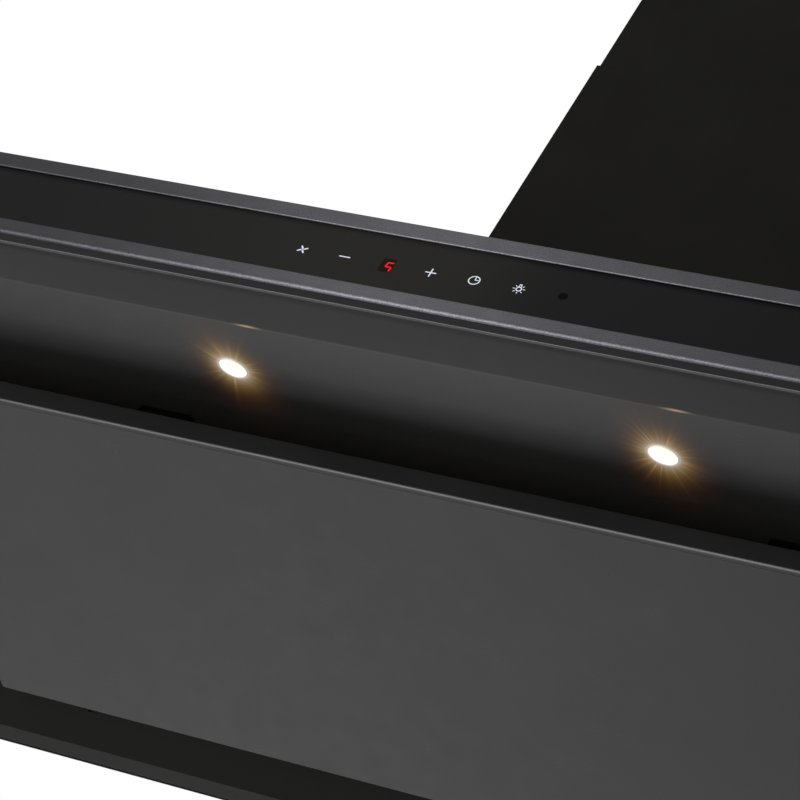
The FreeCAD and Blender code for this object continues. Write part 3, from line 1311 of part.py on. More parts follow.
def upper_bracket():
    """Folded wall bracket inside the top of the upper cover: wall strip, steps and two side tabs."""
    tab = f"({UPPER_SIDE} - chimney_sheet - seat_gap)"
    tab_in = f"({tab} - upper_bracket_sheet)"
    strip = f"({UPPER_SIDE} - chimney_return - seat_gap)"
    strip_in = f"({strip} - upper_bracket_sheet)"
    clear = f"({UPPER_REAR} - chimney_sheet - seat_gap)"
    clear_in = f"({clear} - upper_bracket_sheet)"
    tip = "(-upper_bracket_reach)"
    right = [
        (strip, "0"), (strip, clear), (tab, clear), (tab, tip), (tab_in, tip), (tab_in, clear_in),
        (strip_in, clear_in), (strip_in, "(-upper_bracket_sheet)"),
    ]
    left = [(f"(-{x})", y) for x, y in right]
    body = new_body("upper_bracket_fold")
    section = sketch_on(body, "upper_bracket_section", "XY_Plane", BRACKET_LOW)
    outline(section, right + left[::-1])
    pad(body, section, "upper_bracket_run", "upper_bracket_height")
    across = (f"-2 * {UPPER_SIDE}", f"2 * {UPPER_SIDE}")
    tools = [rod("upper_bracket_screw_holes", "x", (UPPER_SCREW_Y, UPPER_SCREW_Z), across,
                 "screw_radius + screw_hole_gap")]
    for index, x in enumerate(("-wall_hole_spacing_across / 2", "wall_hole_spacing_across / 2")):
        tools.append(rod(f"upper_wall_hole_{index}", "y", (x, UPPER_SCREW_Z),
                         (f"2 * {clear_in}", "cut_margin"),
                         "wall_hole_radius"))
    keep(cut("upper_bracket", body, tools), "upper_bracket")


BRACKET_BASE = f"({CANOPY_TOP} + chimney_bracket_lift)"
CHIMNEY_SCREW_Y = "(-chimney_bracket_setback - chimney_bracket_depth / 2)"
CHIMNEY_SCREW_Z = f"({BRACKET_BASE} + chimney_bracket_height / 2)"


def chimney_brackets():
    """Two folded brackets from the box's sides to the lower cover."""
    brackets = []
    inner = "(box_width / 2)"
    outer = f"({CHIMNEY_SIDE} - chimney_sheet)"
    top = f"({BRACKET_BASE} + chimney_bracket_height)"
    for side, sign in (("left", "-1"), ("right", "1")):
        body = new_body(f"chimney_bracket_{side}")
        section = sketch_on(body, f"chimney_bracket_{side}_section", "XZ_Plane", "chimney_bracket_setback")
        points = [
            (inner, BRACKET_BASE), (f"{inner} + upper_bracket_sheet", BRACKET_BASE),
            (f"{inner} + upper_bracket_sheet", f"{top} - upper_bracket_sheet"),
            (f"{outer} - upper_bracket_sheet", f"{top} - upper_bracket_sheet"),
            (f"{outer} - upper_bracket_sheet", BRACKET_BASE), (outer, BRACKET_BASE), (outer, top),
                  (inner, top),
        ]
        outline(section, [(f"{sign} * ({x})", z) for x, z in points])
        pad(body, section, f"chimney_bracket_{side}_run", "chimney_bracket_depth")
        hole = rod(f"chimney_bracket_{side}_hole", "x", (CHIMNEY_SCREW_Y, CHIMNEY_SCREW_Z),
                   side_span(sign, f"{inner} + 2 * upper_bracket_sheet", f"{outer} + cut_margin"),
                   "screw_radius + screw_hole_gap")
        brackets.append(cut(f"chimney_bracket_{side}_drilled", body, [hole]))
    keep(group("chimney_brackets", brackets), "chimney_brackets")


def side_span(sign, near, far):
    """A span along X on the left or right side, lowest place first."""
    if sign == "1":
        return (near, far)
    return (f"-({far})", f"-({near})")


# ---- screws

def side_screws(name, y, z, face):
    """One pan-head screw in each side of a cover."""
    screws = []
    for side, sign in (("left", "-1"), ("right", "1")):
        head = rod(f"{name}_{side}_head", "x", (y, z), side_span(sign, face, f"{face} + screw_head_height"),
                   "screw_head_radius")
        shank = rod(f"{name}_{side}_shank", "x", (y, z),
                    side_span(sign, f"{face} - screw_length", f"{face} + screw_head_height / 2"),
                    "screw_radius")
        screws.append(joined(f"{name}_{side}", [head, shank]))
    keep(group(name, screws), name)


def canopy_screws():
    """Screws up through the canopy's top into the flange of the blower box."""
    screws = []
    seat = f"({CANOPY_TOP} - sheet)"
    for name, x, y in canopy_screw_places():
        head = rod(f"canopy_screw_{name}_head", "z", (x, y), (f"{seat} - screw_head_height", seat),
                   "screw_head_radius")
        shank = rod(f"canopy_screw_{name}_shank", "z", (x, y),
                    (f"{seat} - screw_head_height / 2", f"{seat} + screw_length"), "screw_radius")
        screws.append(joined(f"canopy_screw_{name}", [head, shank]))
    keep(group("canopy_screws", screws), "canopy_screws")


# ---- the whole hood

canopy_shell()
front_frame()
glass_fascia()
touch_controls()
front_light_plate()
for hood_side, hood_sign in (("left", "-1"), ("right", "1")):
    side_plate(hood_side, hood_sign)
rear_plate()
for hood_side, hood_sign in (("left", "-1"), ("right", "1")):
    lamp(hood_side, hood_sign)
suction_panel()
panel_ribs()
panel_hinge()
panel_catches()
for filter_place, filter_step in (("left", -1), ("middle", 0), ("right", 1)):
    grease_filter(filter_place, filter_step)
blower_box()
wall_plate()
for hood_side, hood_sign in (("left", "-1"), ("right", "1")):
    scroll_casing(hood_side, hood_sign)
impeller()
motor()
outlet_collar()
damper_flap("front", "-")
damper_flap("rear", "+")
capacitor()
electronics()
lower_chimney()
upper_chimney()
upper_bracket()
chimney_brackets()
side_screws("chimney_screws", CHIMNEY_SCREW_Y, CHIMNEY_SCREW_Z, CHIMNEY_SIDE)
side_screws("upper_screws", UPPER_SCREW_Y, UPPER_SCREW_Z, UPPER_SIDE)
canopy_screws()
document.recompute()

for item in document.Objects:
    if "Invalid" in item.State or "Error" in item.State:
        raise RuntimeError(f"{item.Label} did not rebuild: {item.State}")
for item in subparts:
    if item.Shape.isNull() or not item.Shape.isValid() or not item.Shape.Solids:
        raise RuntimeError(f"{item.Label} has no valid solid")

os.makedirs("parts", exist_ok=True)
for item in subparts:
    item.Shape.exportStep(f"parts/{item.Label}.step")
print(f"{len(subparts)} sub-parts written")
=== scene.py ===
import json
import math

import bmesh
import bpy
from bpy.props import FloatProperty, FloatVectorProperty, PointerProperty
from mathutils import Matrix, Vector


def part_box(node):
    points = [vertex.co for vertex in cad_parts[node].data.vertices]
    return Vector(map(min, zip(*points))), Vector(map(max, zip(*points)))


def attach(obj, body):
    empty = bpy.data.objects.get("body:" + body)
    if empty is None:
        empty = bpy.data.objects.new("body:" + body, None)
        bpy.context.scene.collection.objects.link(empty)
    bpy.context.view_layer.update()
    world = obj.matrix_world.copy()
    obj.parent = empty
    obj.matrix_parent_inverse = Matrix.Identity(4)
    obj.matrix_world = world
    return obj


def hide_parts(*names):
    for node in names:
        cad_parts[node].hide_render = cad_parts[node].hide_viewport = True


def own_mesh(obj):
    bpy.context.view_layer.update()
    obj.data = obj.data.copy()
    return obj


bl_info = {
    "name": "Range Hood Looks",
    "version": (1, 0, 0),
    "blender": (4, 5, 0),
    "location": "View3D > Sidebar > Range Hood",
    "description": "Finishes, printed symbols, lit lamps and stage for a wall-mounted range hood",
    "category": "Object",
}

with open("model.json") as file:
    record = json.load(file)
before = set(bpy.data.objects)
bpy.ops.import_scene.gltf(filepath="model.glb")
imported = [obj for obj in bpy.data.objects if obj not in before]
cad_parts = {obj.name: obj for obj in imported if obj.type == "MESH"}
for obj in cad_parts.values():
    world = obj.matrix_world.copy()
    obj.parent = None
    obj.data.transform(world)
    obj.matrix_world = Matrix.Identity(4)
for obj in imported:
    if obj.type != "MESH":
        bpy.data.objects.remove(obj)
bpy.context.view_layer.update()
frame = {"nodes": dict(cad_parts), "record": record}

MM = 0.001
GLASS_LOW, GLASS_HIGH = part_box("glass_fascia")
GLASS_FRONT = GLASS_LOW.y
KEY_PITCH = 26.0 * MM
KEY_OFFSET = -1.15 * MM
KEY_HEIGHT = 30.3 * MM
PRINT_THICKNESS = 0.04 * MM

# The light plate: where it folds up from the rim, and how steeply it rises towards the wall.
PLATE_SLOPE = math.radians(12.7)
PLATE_FOLD_Y = -461.3 * MM
LAMP_X = 132.3 * MM
LAMP_Y = -414.5 * MM
LAMP_Z = (LAMP_Y - PLATE_FOLD_Y) * math.tan(PLATE_SLOPE)
LAMP_LENS_RADIUS = 8.0 * MM

SCREW_GREY = (0.16, 0.16, 0.165)


# ---- sizes and colours that can be changed

def colour_setting(name, description, default):
    return FloatVectorProperty(name=name, description=description, subtype="COLOR", size=3, min=0.0, max=1.0,
                               default=default)


def length_setting(name, description, low, high, default):
    return FloatProperty(name=name, description=description, subtype="DISTANCE", unit="LENGTH", min=low,
                         max=high, default=default)


class HoodFinishSettings(bpy.types.PropertyGroup):
    paint_colour: colour_setting("Paint", "Colour of the painted steel", (0.011, 0.011, 0.0115))
    frame_colour: colour_setting(
        "Front frame", "Colour of the satin metal frame round the glass", (0.115, 0.113, 0.125))
    glass_colour: colour_setting(
        "Glass", "Colour seen through the tinted front glass", (0.0083, 0.0078, 0.0067))
    paint_roughness: FloatProperty(
        name="Paint roughness", description="How matt the painted steel is", subtype="FACTOR",
        min=0.0, max=1.0, default=0.3)


class HoodSymbolSettings(bpy.types.PropertyGroup):
    stroke: length_setting("Stroke", "Width of the printed lines", 0.2 * MM, 3.0 * MM, 0.75 * MM)
    print_colour: colour_setting("Print", "Colour of the lit touch symbols", (0.62, 0.66, 0.74))
    digit_colour: colour_setting("Digit", "Colour of the lit speed digit", (1.0, 0.0, 0.02))


class HoodLampSettings(bpy.types.PropertyGroup):
    light_colour: colour_setting("Light", "Colour of the lamps' light", (0.93, 0.88, 0.77))
    glow_colour: colour_setting("Glow", "Colour of the glow that the lamps throw on the plate", (1.0, 0.78, 0.61))
    glow_reach: length_setting(
        "Glow reach", "How far the glow spreads over the plate", 1.0 * MM, 100.0 * MM, 6.7 * MM)


class HoodStageSettings(bpy.types.PropertyGroup):
    floor_level: length_setting("Floor level", "Height of the floor from the hood's lower rim", -3.0, 0.0, -1.6)
    floor_colour: colour_setting("Floor", "Colour of the pale floor", (0.8, 0.8, 0.8))


# ---- materials

class Nodes:
    """Adds nodes to one tree and joins them. A value is a plain number or another node's output."""

    def __init__(self, tree):
        self.tree = tree
        self.tree.nodes.clear()

    def add(self, kind, **settings):
        node = self.tree.nodes.new(kind)
        for name, value in settings.items():
            setattr(node, name, value)
        return node

    def join(self, source, target):
        self.tree.links.new(source, target)

    def feed(self, value, target):
        """Sets a plain number on the input, or joins another node's output to it."""
        if isinstance(value, (int, float)):
            target.default_value = value
        else:
            self.join(value, target)

    def parts(self, source):
        """The X, Y and Z of a vector."""
        split = self.add("ShaderNodeSeparateXYZ")
        self.join(source, split.inputs[0])
        return split.outputs

    def maths(self, operation, *values):
        node = self.add("ShaderNodeMath", operation=operation)
        for slot, value in enumerate(values):
            self.feed(value, node.inputs[slot])
        return node.outputs[0]

    def plus(self, first, second):
        return self.maths("ADD", first, second)

    def less(self, first, second):
        return self.maths("SUBTRACT", first, second)

    def times(self, first, second):
        return self.maths("MULTIPLY", first, second)

    def over(self, first, second):
        return self.maths("DIVIDE", first, second)

    def squared(self, value):
        return self.times(value, value)

    def larger(self, first, second):
        return self.maths("MAXIMUM", first, second)

    def spread(self, source, low, high, start=0.3, end=0.7, blend="LINEAR"):
        """The source's values from start to end, spread over low to high."""
        remap = self.add("ShaderNodeMapRange", interpolation_type=blend)
        for name, value in zip(("From Min", "From Max", "To Min", "To Max"), (start, end, low, high)):
            remap.inputs[name].default_value = value
        self.join(source, remap.inputs["Value"])
        return remap.outputs[0]

    def mixed(self, share, first, second):
        """Two shaders mixed: none of the second at a share of 0, and all of it at 1."""
        blend = self.add("ShaderNodeMixShader")
        for slot, source in enumerate((share, first, second)):
            self.join(source, blend.inputs[slot])
        return blend.outputs[0]


class Finish(Nodes):
    """A material: one surface shader, and the nodes that vary it over the object."""

    def __init__(self, name, colour, roughness, metallic=0.0, specular=0.5):
        self.material = bpy.data.materials.new(name)
        self.material.use_nodes = True
        super().__init__(self.material.node_tree)
        self.shader = self.add("ShaderNodeBsdfPrincipled")
        self.output = self.add("ShaderNodeOutputMaterial")
        self.join(self.shader.outputs[0], self.output.inputs["Surface"])
        self.shader.inputs["Base Color"].default_value = (*colour, 1.0)
        self.shader.inputs["Roughness"].default_value = roughness
        self.shader.inputs["Metallic"].default_value = metallic
        self.shader.inputs["Specular IOR Level"].default_value = specular
        self.material.diffuse_color = (*colour, 1.0)
        self.place = self.add("ShaderNodeTexCoord").outputs["Object"]

    def noise(self, scale, detail=2.0, stretch=(1.0, 1.0, 1.0)):
        """Soft noise over the object, with scale in features per metre."""
        mapping = self.add("ShaderNodeMapping")
        mapping.inputs["Scale"].default_value = stretch
        self.join(self.place, mapping.inputs["Vector"])
        texture = self.add("ShaderNodeTexNoise")
        texture.inputs["Scale"].default_value = scale
        texture.inputs["Detail"].default_value = detail
        self.join(mapping.outputs[0], texture.inputs["Vector"])
        return texture.outputs[0]


    def along(self, axis, stops, blend="LINEAR"):
        """A value that follows one axis: stops are (place in millimetres, value), with values from 0 to 1."""
        stops = [(place * MM, value) for place, value in stops]
        first, last = stops[0][0], stops[-1][0]
        share = self.spread(self.parts(self.place)[axis], 0.0, 1.0, first, last)
        ramp = self.add("ShaderNodeValToRGB")
        ramp.color_ramp.interpolation = blend
        while len(ramp.color_ramp.elements) < len(stops):
            ramp.color_ramp.elements.new(0.5)
        for element, (place, value) in zip(ramp.color_ramp.elements, stops):
            element.position = (place - first) / (last - first)
            element.color = (value, value, value, 1.0)
        self.join(share, ramp.inputs[0])
        return ramp.outputs[0]

    def gloss(self, level):
        """How strongly the surface mirrors, following a value."""
        self.join(level, self.shader.inputs["Specular IOR Level"])

    def dim_colour(self, factor):
        """Multiplies the base colour, already joined or plain, by a value."""
        base = self.shader.inputs["Base Color"]
        blend = self.add("ShaderNodeMix", data_type="RGBA", blend_type="MULTIPLY")
        blend.inputs["Factor"].default_value = 1.0
        if base.is_linked:
            self.join(base.links[0].from_socket, blend.inputs["A"])
        else:
            blend.inputs["A"].default_value = base.default_value
        self.join(factor, blend.inputs["B"])
        self.join(blend.outputs["Result"], base)

    def shade(self, source, dark, light, start=0.3, end=0.7):
        """Base colour that runs from dark to light with the source."""
        blend = self.add("ShaderNodeMix", data_type="RGBA")
        self.join(self.spread(source, 0.0, 1.0, start, end), blend.inputs["Factor"])
        blend.inputs["A"].default_value = (*dark, 1.0)
        blend.inputs["B"].default_value = (*light, 1.0)
        self.join(blend.outputs["Result"], self.shader.inputs["Base Color"])

    def roughen(self, source, low, high, start=0.3, end=0.7):
        self.join(self.spread(source, low, high, start, end), self.shader.inputs["Roughness"])

    def relief(self, source, depth, edge=0.0):
        """Small bumps of a real depth, over edges softened by a real radius."""
        bump = self.add("ShaderNodeBump")
        bump.inputs["Strength"].default_value = 1.0
        bump.inputs["Distance"].default_value = depth
        self.join(source, bump.inputs["Height"])
        if edge:
            soft = self.add("ShaderNodeBevel", samples=4)
            soft.inputs["Radius"].default_value = edge
            self.join(soft.outputs[0], bump.inputs["Normal"])
        self.join(bump.outputs[0], self.shader.inputs["Normal"])

    def glow(self, colour, strength):
        self.shader.inputs["Emission Color"].default_value = (*colour, 1.0)
        self.shader.inputs["Emission Strength"].default_value = strength


def scaled(colour, factor):
    return tuple(min(1.0, channel * factor) for channel in colour)


def painted_steel(name, colour, roughness, peel=0.4, specular=0.5):
    """Powder-coated steel: a faint orange-peel skin with slight changes of gloss."""
    finish = Finish(name, colour, roughness, specular=specular)
    finish.shade(finish.noise(9.0, 3.0), scaled(colour, 0.88), scaled(colour, 1.14))
    finish.roughen(finish.noise(55.0, 3.0), roughness - 0.03, roughness + 0.04)
    skin = finish.noise(1400.0, 2.0)
    finish.relief(skin, 0.0035 * MM * peel, edge=0.5 * MM)
    return finish


# How strongly the light plate mirrors its surroundings, from its front hem to its rear edge, in millimetres:
# painted highlights on the hem and the fold, painted shade in the dip behind the hem, and painted shade that
# deepens towards the rear edge.
PLATE_HIGHLIGHT_AND_SHADE_GLOSS = ((-493.0, 1.0), (-491.3, 1.0), (-490.6, 0.12), (-488.6, 0.15), (-487.6, 0.2), (-486.2, 0.34),
               (-484.5, 0.385), (-462.1, 0.41), (-461.5, 0.59), (-460.7, 0.59), (-459.8, 0.54), (-452.6, 0.51),
               (-443.9, 0.475), (-426.5, 0.38), (-417.8, 0.285), (-409.1, 0.18), (-400.4, 0.09), (-394.0, 0.05),
               (-387.0, 0.037), (-382.0, 0.025), (-370.0, 0.025), (-358.0, 0.06), (-313.0, 0.1))

# The same for the suction panel: a painted highlight on its rolled front edge, and a line of painted shade behind
# it.
PANEL_HIGHLIGHT_AND_SHADE_GLOSS = ((-356.0, 0.6), (-355.1, 0.6), (-354.8, 1.0), (-353.6, 1.0), (-353.3, 0.4), (-352.8, 0.1),
               (-351.4, 0.06), (-350.5, 0.42), (0.0, 0.42))

# How bright the front frame and the glass are along their width, and how the glass darkens at its top: a painted
# reflection on the frame and painted light on the glass, both brightest near the middle, and painted shade at the
# glass's top under the frame's lip.
FRAME_PAINTED_REFLECTION = ((-450.0, 0.46), (-224.0, 0.5), (-140.0, 0.68), (-50.0, 0.92), (10.0, 1.0), (77.0, 0.82),
               (185.0, 0.66), (450.0, 0.5))
GLASS_PAINTED_LIGHT = ((-450.0, 0.02), (-260.0, 0.1), (-140.0, 0.5), (-50.0, 1.0), (20.0, 0.95), (60.0, 0.2),
               (120.0, 0.02), (450.0, 0.0))
GLASS_TOP_PAINTED_SHADE = ((8.0, 0.11), (49.0, 0.11), (51.8, 0.055), (53.4, 0.03), (57.0, 0.03))

# Rays round a lamp: how many stand out, and the noise levels between which one grows to its full strength.
RAY_SCALE = 10.5
RAY_LEVELS = (0.42, 0.68)

# The glow round a lamp: where it starts, its near and wide parts, and each channel's share of the wide reach.
GLOW_START = 9.5 * MM
NEAR_STRENGTH, NEAR_REACH = 0.21, 0.75 * MM
WIDE_STRENGTH, WIDE_SHARES = 0.39, (1.0, 0.8, 0.48)

# The lamps' warm streaks on the fold in front of them.
STREAK_MIDDLE, STREAK_HALF_GAP, STREAK_WIDTH = 20.2 * MM, 127.9 * MM, 5.8 * MM
STREAK_STRENGTH, STREAK_TINT = 0.3, (1.0, 0.72, 0.34)
STREAK_BAND = ((-462.6, 0.0), (-461.6, 1.0), (-460.9, 1.0), (-460.2, 0.0))

# Faint light that reaches the rear of the plate.
SPILL_TINT = (1.0, 0.95, 0.7)
SPILL_BAND = ((-405.0, 0.0), (-380.0, 0.0024), (-313.0, 0.0024))


def panel_satin(name, colour, roughness):
    """The suction panel's satin paint, with a painted highlight and painted shade along its front edge."""
    finish = painted_steel(name, colour, roughness, peel=0.2)
    # Gloss that paints a highlight on the rolled front edge and a line of shade behind it.
    finish.gloss(finish.along("Y", PANEL_HIGHLIGHT_AND_SHADE_GLOSS))
    return finish


def lamp_distance(finish):
    """Distance to the nearer lamp's axis, its parts over it along X and Y, and the lamp's side, -1 or 1."""
    parts = finish.parts(finish.place)
    across = finish.less(finish.maths("ABSOLUTE", parts["X"]), LAMP_X)
    along = finish.less(parts["Y"], LAMP_Y)
    reach = finish.maths("SQRT", finish.plus(finish.squared(across), finish.squared(along)))
    return reach, finish.over(across, reach), finish.over(along, reach), finish.maths("SIGN", parts["X"])


def fade(finish, distance, reach):
    """1 at no distance, fading away over the reach."""
    return finish.maths("EXPONENT", finish.over(distance, -reach))


def thin_rays(finish, across, along, side):
    """Rays that stand out all round each lamp, 1 in a ray's middle and 0 between the rays."""
    bearing = finish.add("ShaderNodeCombineXYZ")
    for slot, value in enumerate((across, along, side)):
        finish.join(value, bearing.inputs[slot])
    rays = finish.add("ShaderNodeTexNoise")
    rays.inputs["Scale"].default_value = RAY_SCALE
    rays.inputs["Detail"].default_value = 1.0
    finish.join(bearing.outputs[0], rays.inputs["Vector"])
    return finish.maths("POWER", finish.spread(rays.outputs[0], 0.0, 1.0, *RAY_LEVELS), 2.0)


def fold_streaks(finish):
    """The mirrored spot of each lamp on the fold."""
    middle = finish.maths("ABSOLUTE", finish.less(finish.parts(finish.place)["X"], STREAK_MIDDLE))
    beside = finish.less(middle, STREAK_HALF_GAP)
    spot = finish.maths("EXPONENT", finish.over(finish.squared(beside), -STREAK_WIDTH ** 2))
    return finish.times(spot, finish.along("Y", STREAK_BAND))


def light_plate_paint(name, colour, roughness, lamps):
    """The underside's smooth satin paint, with painted highlights and painted shade in its gloss, and a painted
    warm glow round each lamp.
    """
    finish = painted_steel(name, colour, roughness, peel=0.15)
    # Gloss that paints highlights on the hem and the fold, and shade behind the hem and towards the rear edge.
    finish.gloss(finish.along("Y", PLATE_HIGHLIGHT_AND_SHADE_GLOSS))
    reach, across, along, side = lamp_distance(finish)

    # The glow is nearly white at the ring and reddens as it fades; it reaches less far sideways.
    narrowed = finish.maths("MULTIPLY_ADD", finish.squared(across), 0.6, 0.86)
    rim = finish.times(finish.larger(finish.less(reach, GLOW_START), 0.0), narrowed)
    ray_strength = finish.spread(rim, 0.1, 0.7, 0.5 * MM, 5.0 * MM)
    spoked = finish.maths("MULTIPLY_ADD", thin_rays(finish, across, along, side), ray_strength, 0.88)
    streak = fold_streaks(finish)
    spill = finish.along("Y", SPILL_BAND)
    mixed = finish.add("ShaderNodeCombineColor")
    for channel, level in enumerate(lamps.glow_colour):
        near = finish.times(fade(finish, rim, NEAR_REACH), NEAR_STRENGTH * level)
        wide = finish.times(fade(finish, rim, WIDE_SHARES[channel] * lamps.glow_reach), WIDE_STRENGTH * level)
        halo = finish.maths("MULTIPLY_ADD", wide, spoked, near)
        lit = finish.maths("MULTIPLY_ADD", streak, STREAK_STRENGTH * STREAK_TINT[channel], halo)
        finish.join(finish.maths("MULTIPLY_ADD", spill, SPILL_TINT[channel], lit), mixed.inputs[channel])
    finish.glow((1.0, 1.0, 1.0), 1.0)
    finish.join(mixed.outputs[0], finish.shader.inputs["Emission Color"])
    return finish


def satin_metal(name, colour):
    """Blasted and anodised frame metal: a fine sparkle of grain, under a painted reflection that is brightest
    near the middle of its width.
    """
    finish = Finish(name, colour, 0.34, metallic=1.0)
    grain = finish.noise(1500.0, 3.0)
    finish.shade(grain, scaled(colour, 0.8), scaled(colour, 2.0))
    # Painted reflection: the frame is brightest near the middle of its width and darker towards its ends.
    finish.dim_colour(finish.along("X", FRAME_PAINTED_REFLECTION, "CARDINAL"))
    finish.roughen(finish.noise(70.0, 2.0), 0.3, 0.38)
    finish.relief(grain, 0.01 * MM)
    return finish


def tinted_glass(name, colour):
    """Black-backed glass: a smooth face with the faintest wiping marks, painted light that is brightest near the
    controls, and painted shade along its top under the frame's lip.
    """
    finish = Finish(name, colour, 0.12, specular=0.11)
    # Painted light: the glass is brightest near the controls and darker towards its ends.
    finish.dim_colour(finish.along("X", GLASS_PAINTED_LIGHT, "CARDINAL"))
    # Gloss that falls towards the top, as painted shade under the frame's lip.
    finish.gloss(finish.along("Z", GLASS_TOP_PAINTED_SHADE))
    finish.roughen(finish.noise(16.0, 4.0, stretch=(0.4, 1.0, 1.3)), 0.1, 0.16, 0.4, 0.75)
    finish.relief(finish.noise(6.0, 1.0), 0.002 * MM, edge=0.25 * MM)
    return finish


def bare_metal(name, colour, roughness, grain_scale, depth, stretch=(1.0, 1.0, 1.0)):
    """Unpainted metal with a rolled or drawn grain."""
    finish = Finish(name, colour, roughness, metallic=1.0)
    grain = finish.noise(grain_scale, 4.0, stretch=stretch)
    finish.shade(finish.noise(24.0, 4.0), scaled(colour, 0.8), scaled(colour, 1.12))
    finish.roughen(grain, roughness - 0.08, roughness + 0.1)
    finish.relief(grain, depth, edge=0.15 * MM)
    return finish


def galvanised(name):
    """Zinc-coated sheet with its pattern of crystals."""
    finish = Finish(name, (0.5, 0.51, 0.52), 0.42, metallic=1.0)
    crystals = finish.add("ShaderNodeTexVoronoi")
    crystals.inputs["Scale"].default_value = 190.0
    finish.join(finish.place, crystals.inputs["Vector"])
    grey = finish.add("ShaderNodeSeparateColor")
    finish.join(crystals.outputs["Color"], grey.inputs[0])
    finish.shade(grey.outputs[0], (0.4, 0.41, 0.42), (0.62, 0.63, 0.65), 0.0, 1.0)
    finish.roughen(grey.outputs[1], 0.34, 0.52, 0.0, 1.0)
    finish.relief(finish.noise(700.0, 2.0), 0.004 * MM, edge=0.3 * MM)
    return finish


def moulded_plastic(name, colour, roughness, texture=420.0):
    """Injection-moulded plastic with a fine spark-eroded texture."""
    finish = Finish(name, colour, roughness)
    finish.shade(finish.noise(14.0, 2.0), scaled(colour, 0.9), scaled(colour, 1.1))
    finish.roughen(finish.noise(160.0, 2.0), roughness - 0.05, roughness + 0.07)
    finish.relief(finish.noise(texture, 3.0), 0.02 * MM, edge=0.3 * MM)
    return finish


def expanded_mesh(name):
    """Expanded aluminium mesh: bright diamond strands, with painted shade in the gaps between them."""
    finish = Finish(name, (0.5, 0.5, 0.5), 0.38, metallic=1.0)
    strands = []
    for turn in (32.0, -32.0):
        mapping = finish.add("ShaderNodeMapping")
        mapping.inputs["Rotation"].default_value = (0.0, 0.0, math.radians(turn))
        finish.join(finish.place, mapping.inputs["Vector"])
        wave = finish.add("ShaderNodeTexWave", wave_type="BANDS", bands_direction="X")
        wave.inputs["Scale"].default_value = 62.0
        wave.inputs["Distortion"].default_value = 0.4
        wave.inputs["Detail"].default_value = 1.0
        finish.join(mapping.outputs[0], wave.inputs["Vector"])
        strands.append(wave.outputs["Fac"])
    net = finish.maths("MAXIMUM", strands[0], strands[1])
    # The gaps between the strands are painted shade, where the real mesh is open.
    finish.shade(net, (0.02, 0.02, 0.02), (0.62, 0.62, 0.62), 0.62, 0.86)
    finish.roughen(net, 0.8, 0.3, 0.62, 0.86)
    finish.relief(net, 0.35 * MM)
    return finish


def circuit_board(name):
    """Green solder mask with copper tracks showing through."""
    finish = Finish(name, (0.012, 0.07, 0.025), 0.35)
    tracks = finish.add("ShaderNodeTexVoronoi", distance="MANHATTAN", feature="DISTANCE_TO_EDGE")
    tracks.inputs["Scale"].default_value = 260.0
    finish.join(finish.place, tracks.inputs["Vector"])
    finish.shade(tracks.outputs["Distance"], (0.03, 0.14, 0.05), (0.01, 0.06, 0.022), 0.02, 0.09)
    finish.relief(tracks.outputs["Distance"], 0.02 * MM, edge=0.2 * MM)
    return finish


def lit_lens(name, lamps):
    """Frosted lens of a lit lamp."""
    finish = Finish(name, (0.12, 0.115, 0.1), 0.35, specular=0.2)
    finish.glow(lamps.light_colour, 1.0)
    finish.relief(finish.noise(900.0, 2.0), 0.01 * MM)
    return finish


def lit_ring(name, lamps):
    """The lamp's rolled metal ring, washed by the light from inside it."""
    finish = bare_metal(name, (0.3, 0.3, 0.3), 0.28, 700.0, 0.002 * MM)
    reach, across = lamp_distance(finish)[:2]
    narrowed = finish.maths("MULTIPLY_ADD", finish.squared(across), 0.8, 1.0)
    rim = finish.times(finish.less(reach, LAMP_LENS_RADIUS), narrowed)
    wash = finish.spread(rim, 0.82, 0.3, 0.0, 1.9 * MM)
    finish.glow(lamps.light_colour, 1.0)
    finish.join(wash, finish.shader.inputs["Emission Strength"])
    return finish


def lit_reflector(name):
    """Polished wall of the lamp's recess, washed by its own light."""
    finish = Finish(name, (0.9, 0.9, 0.88), 0.2, metallic=0.6)
    finish.glow((1.0, 0.97, 0.9), 1.6)
    finish.relief(finish.noise(600.0, 1.0), 0.003 * MM)
    return finish


def printed(name, colour, strength):
    """Screen print lit from behind, a touch uneven."""
    finish = Finish(name, scaled(colour, 0.3), 0.4, specular=0.06)
    finish.glow(colour, strength)
    finish.relief(finish.noise(1800.0, 2.0), 0.004 * MM)
    return finish


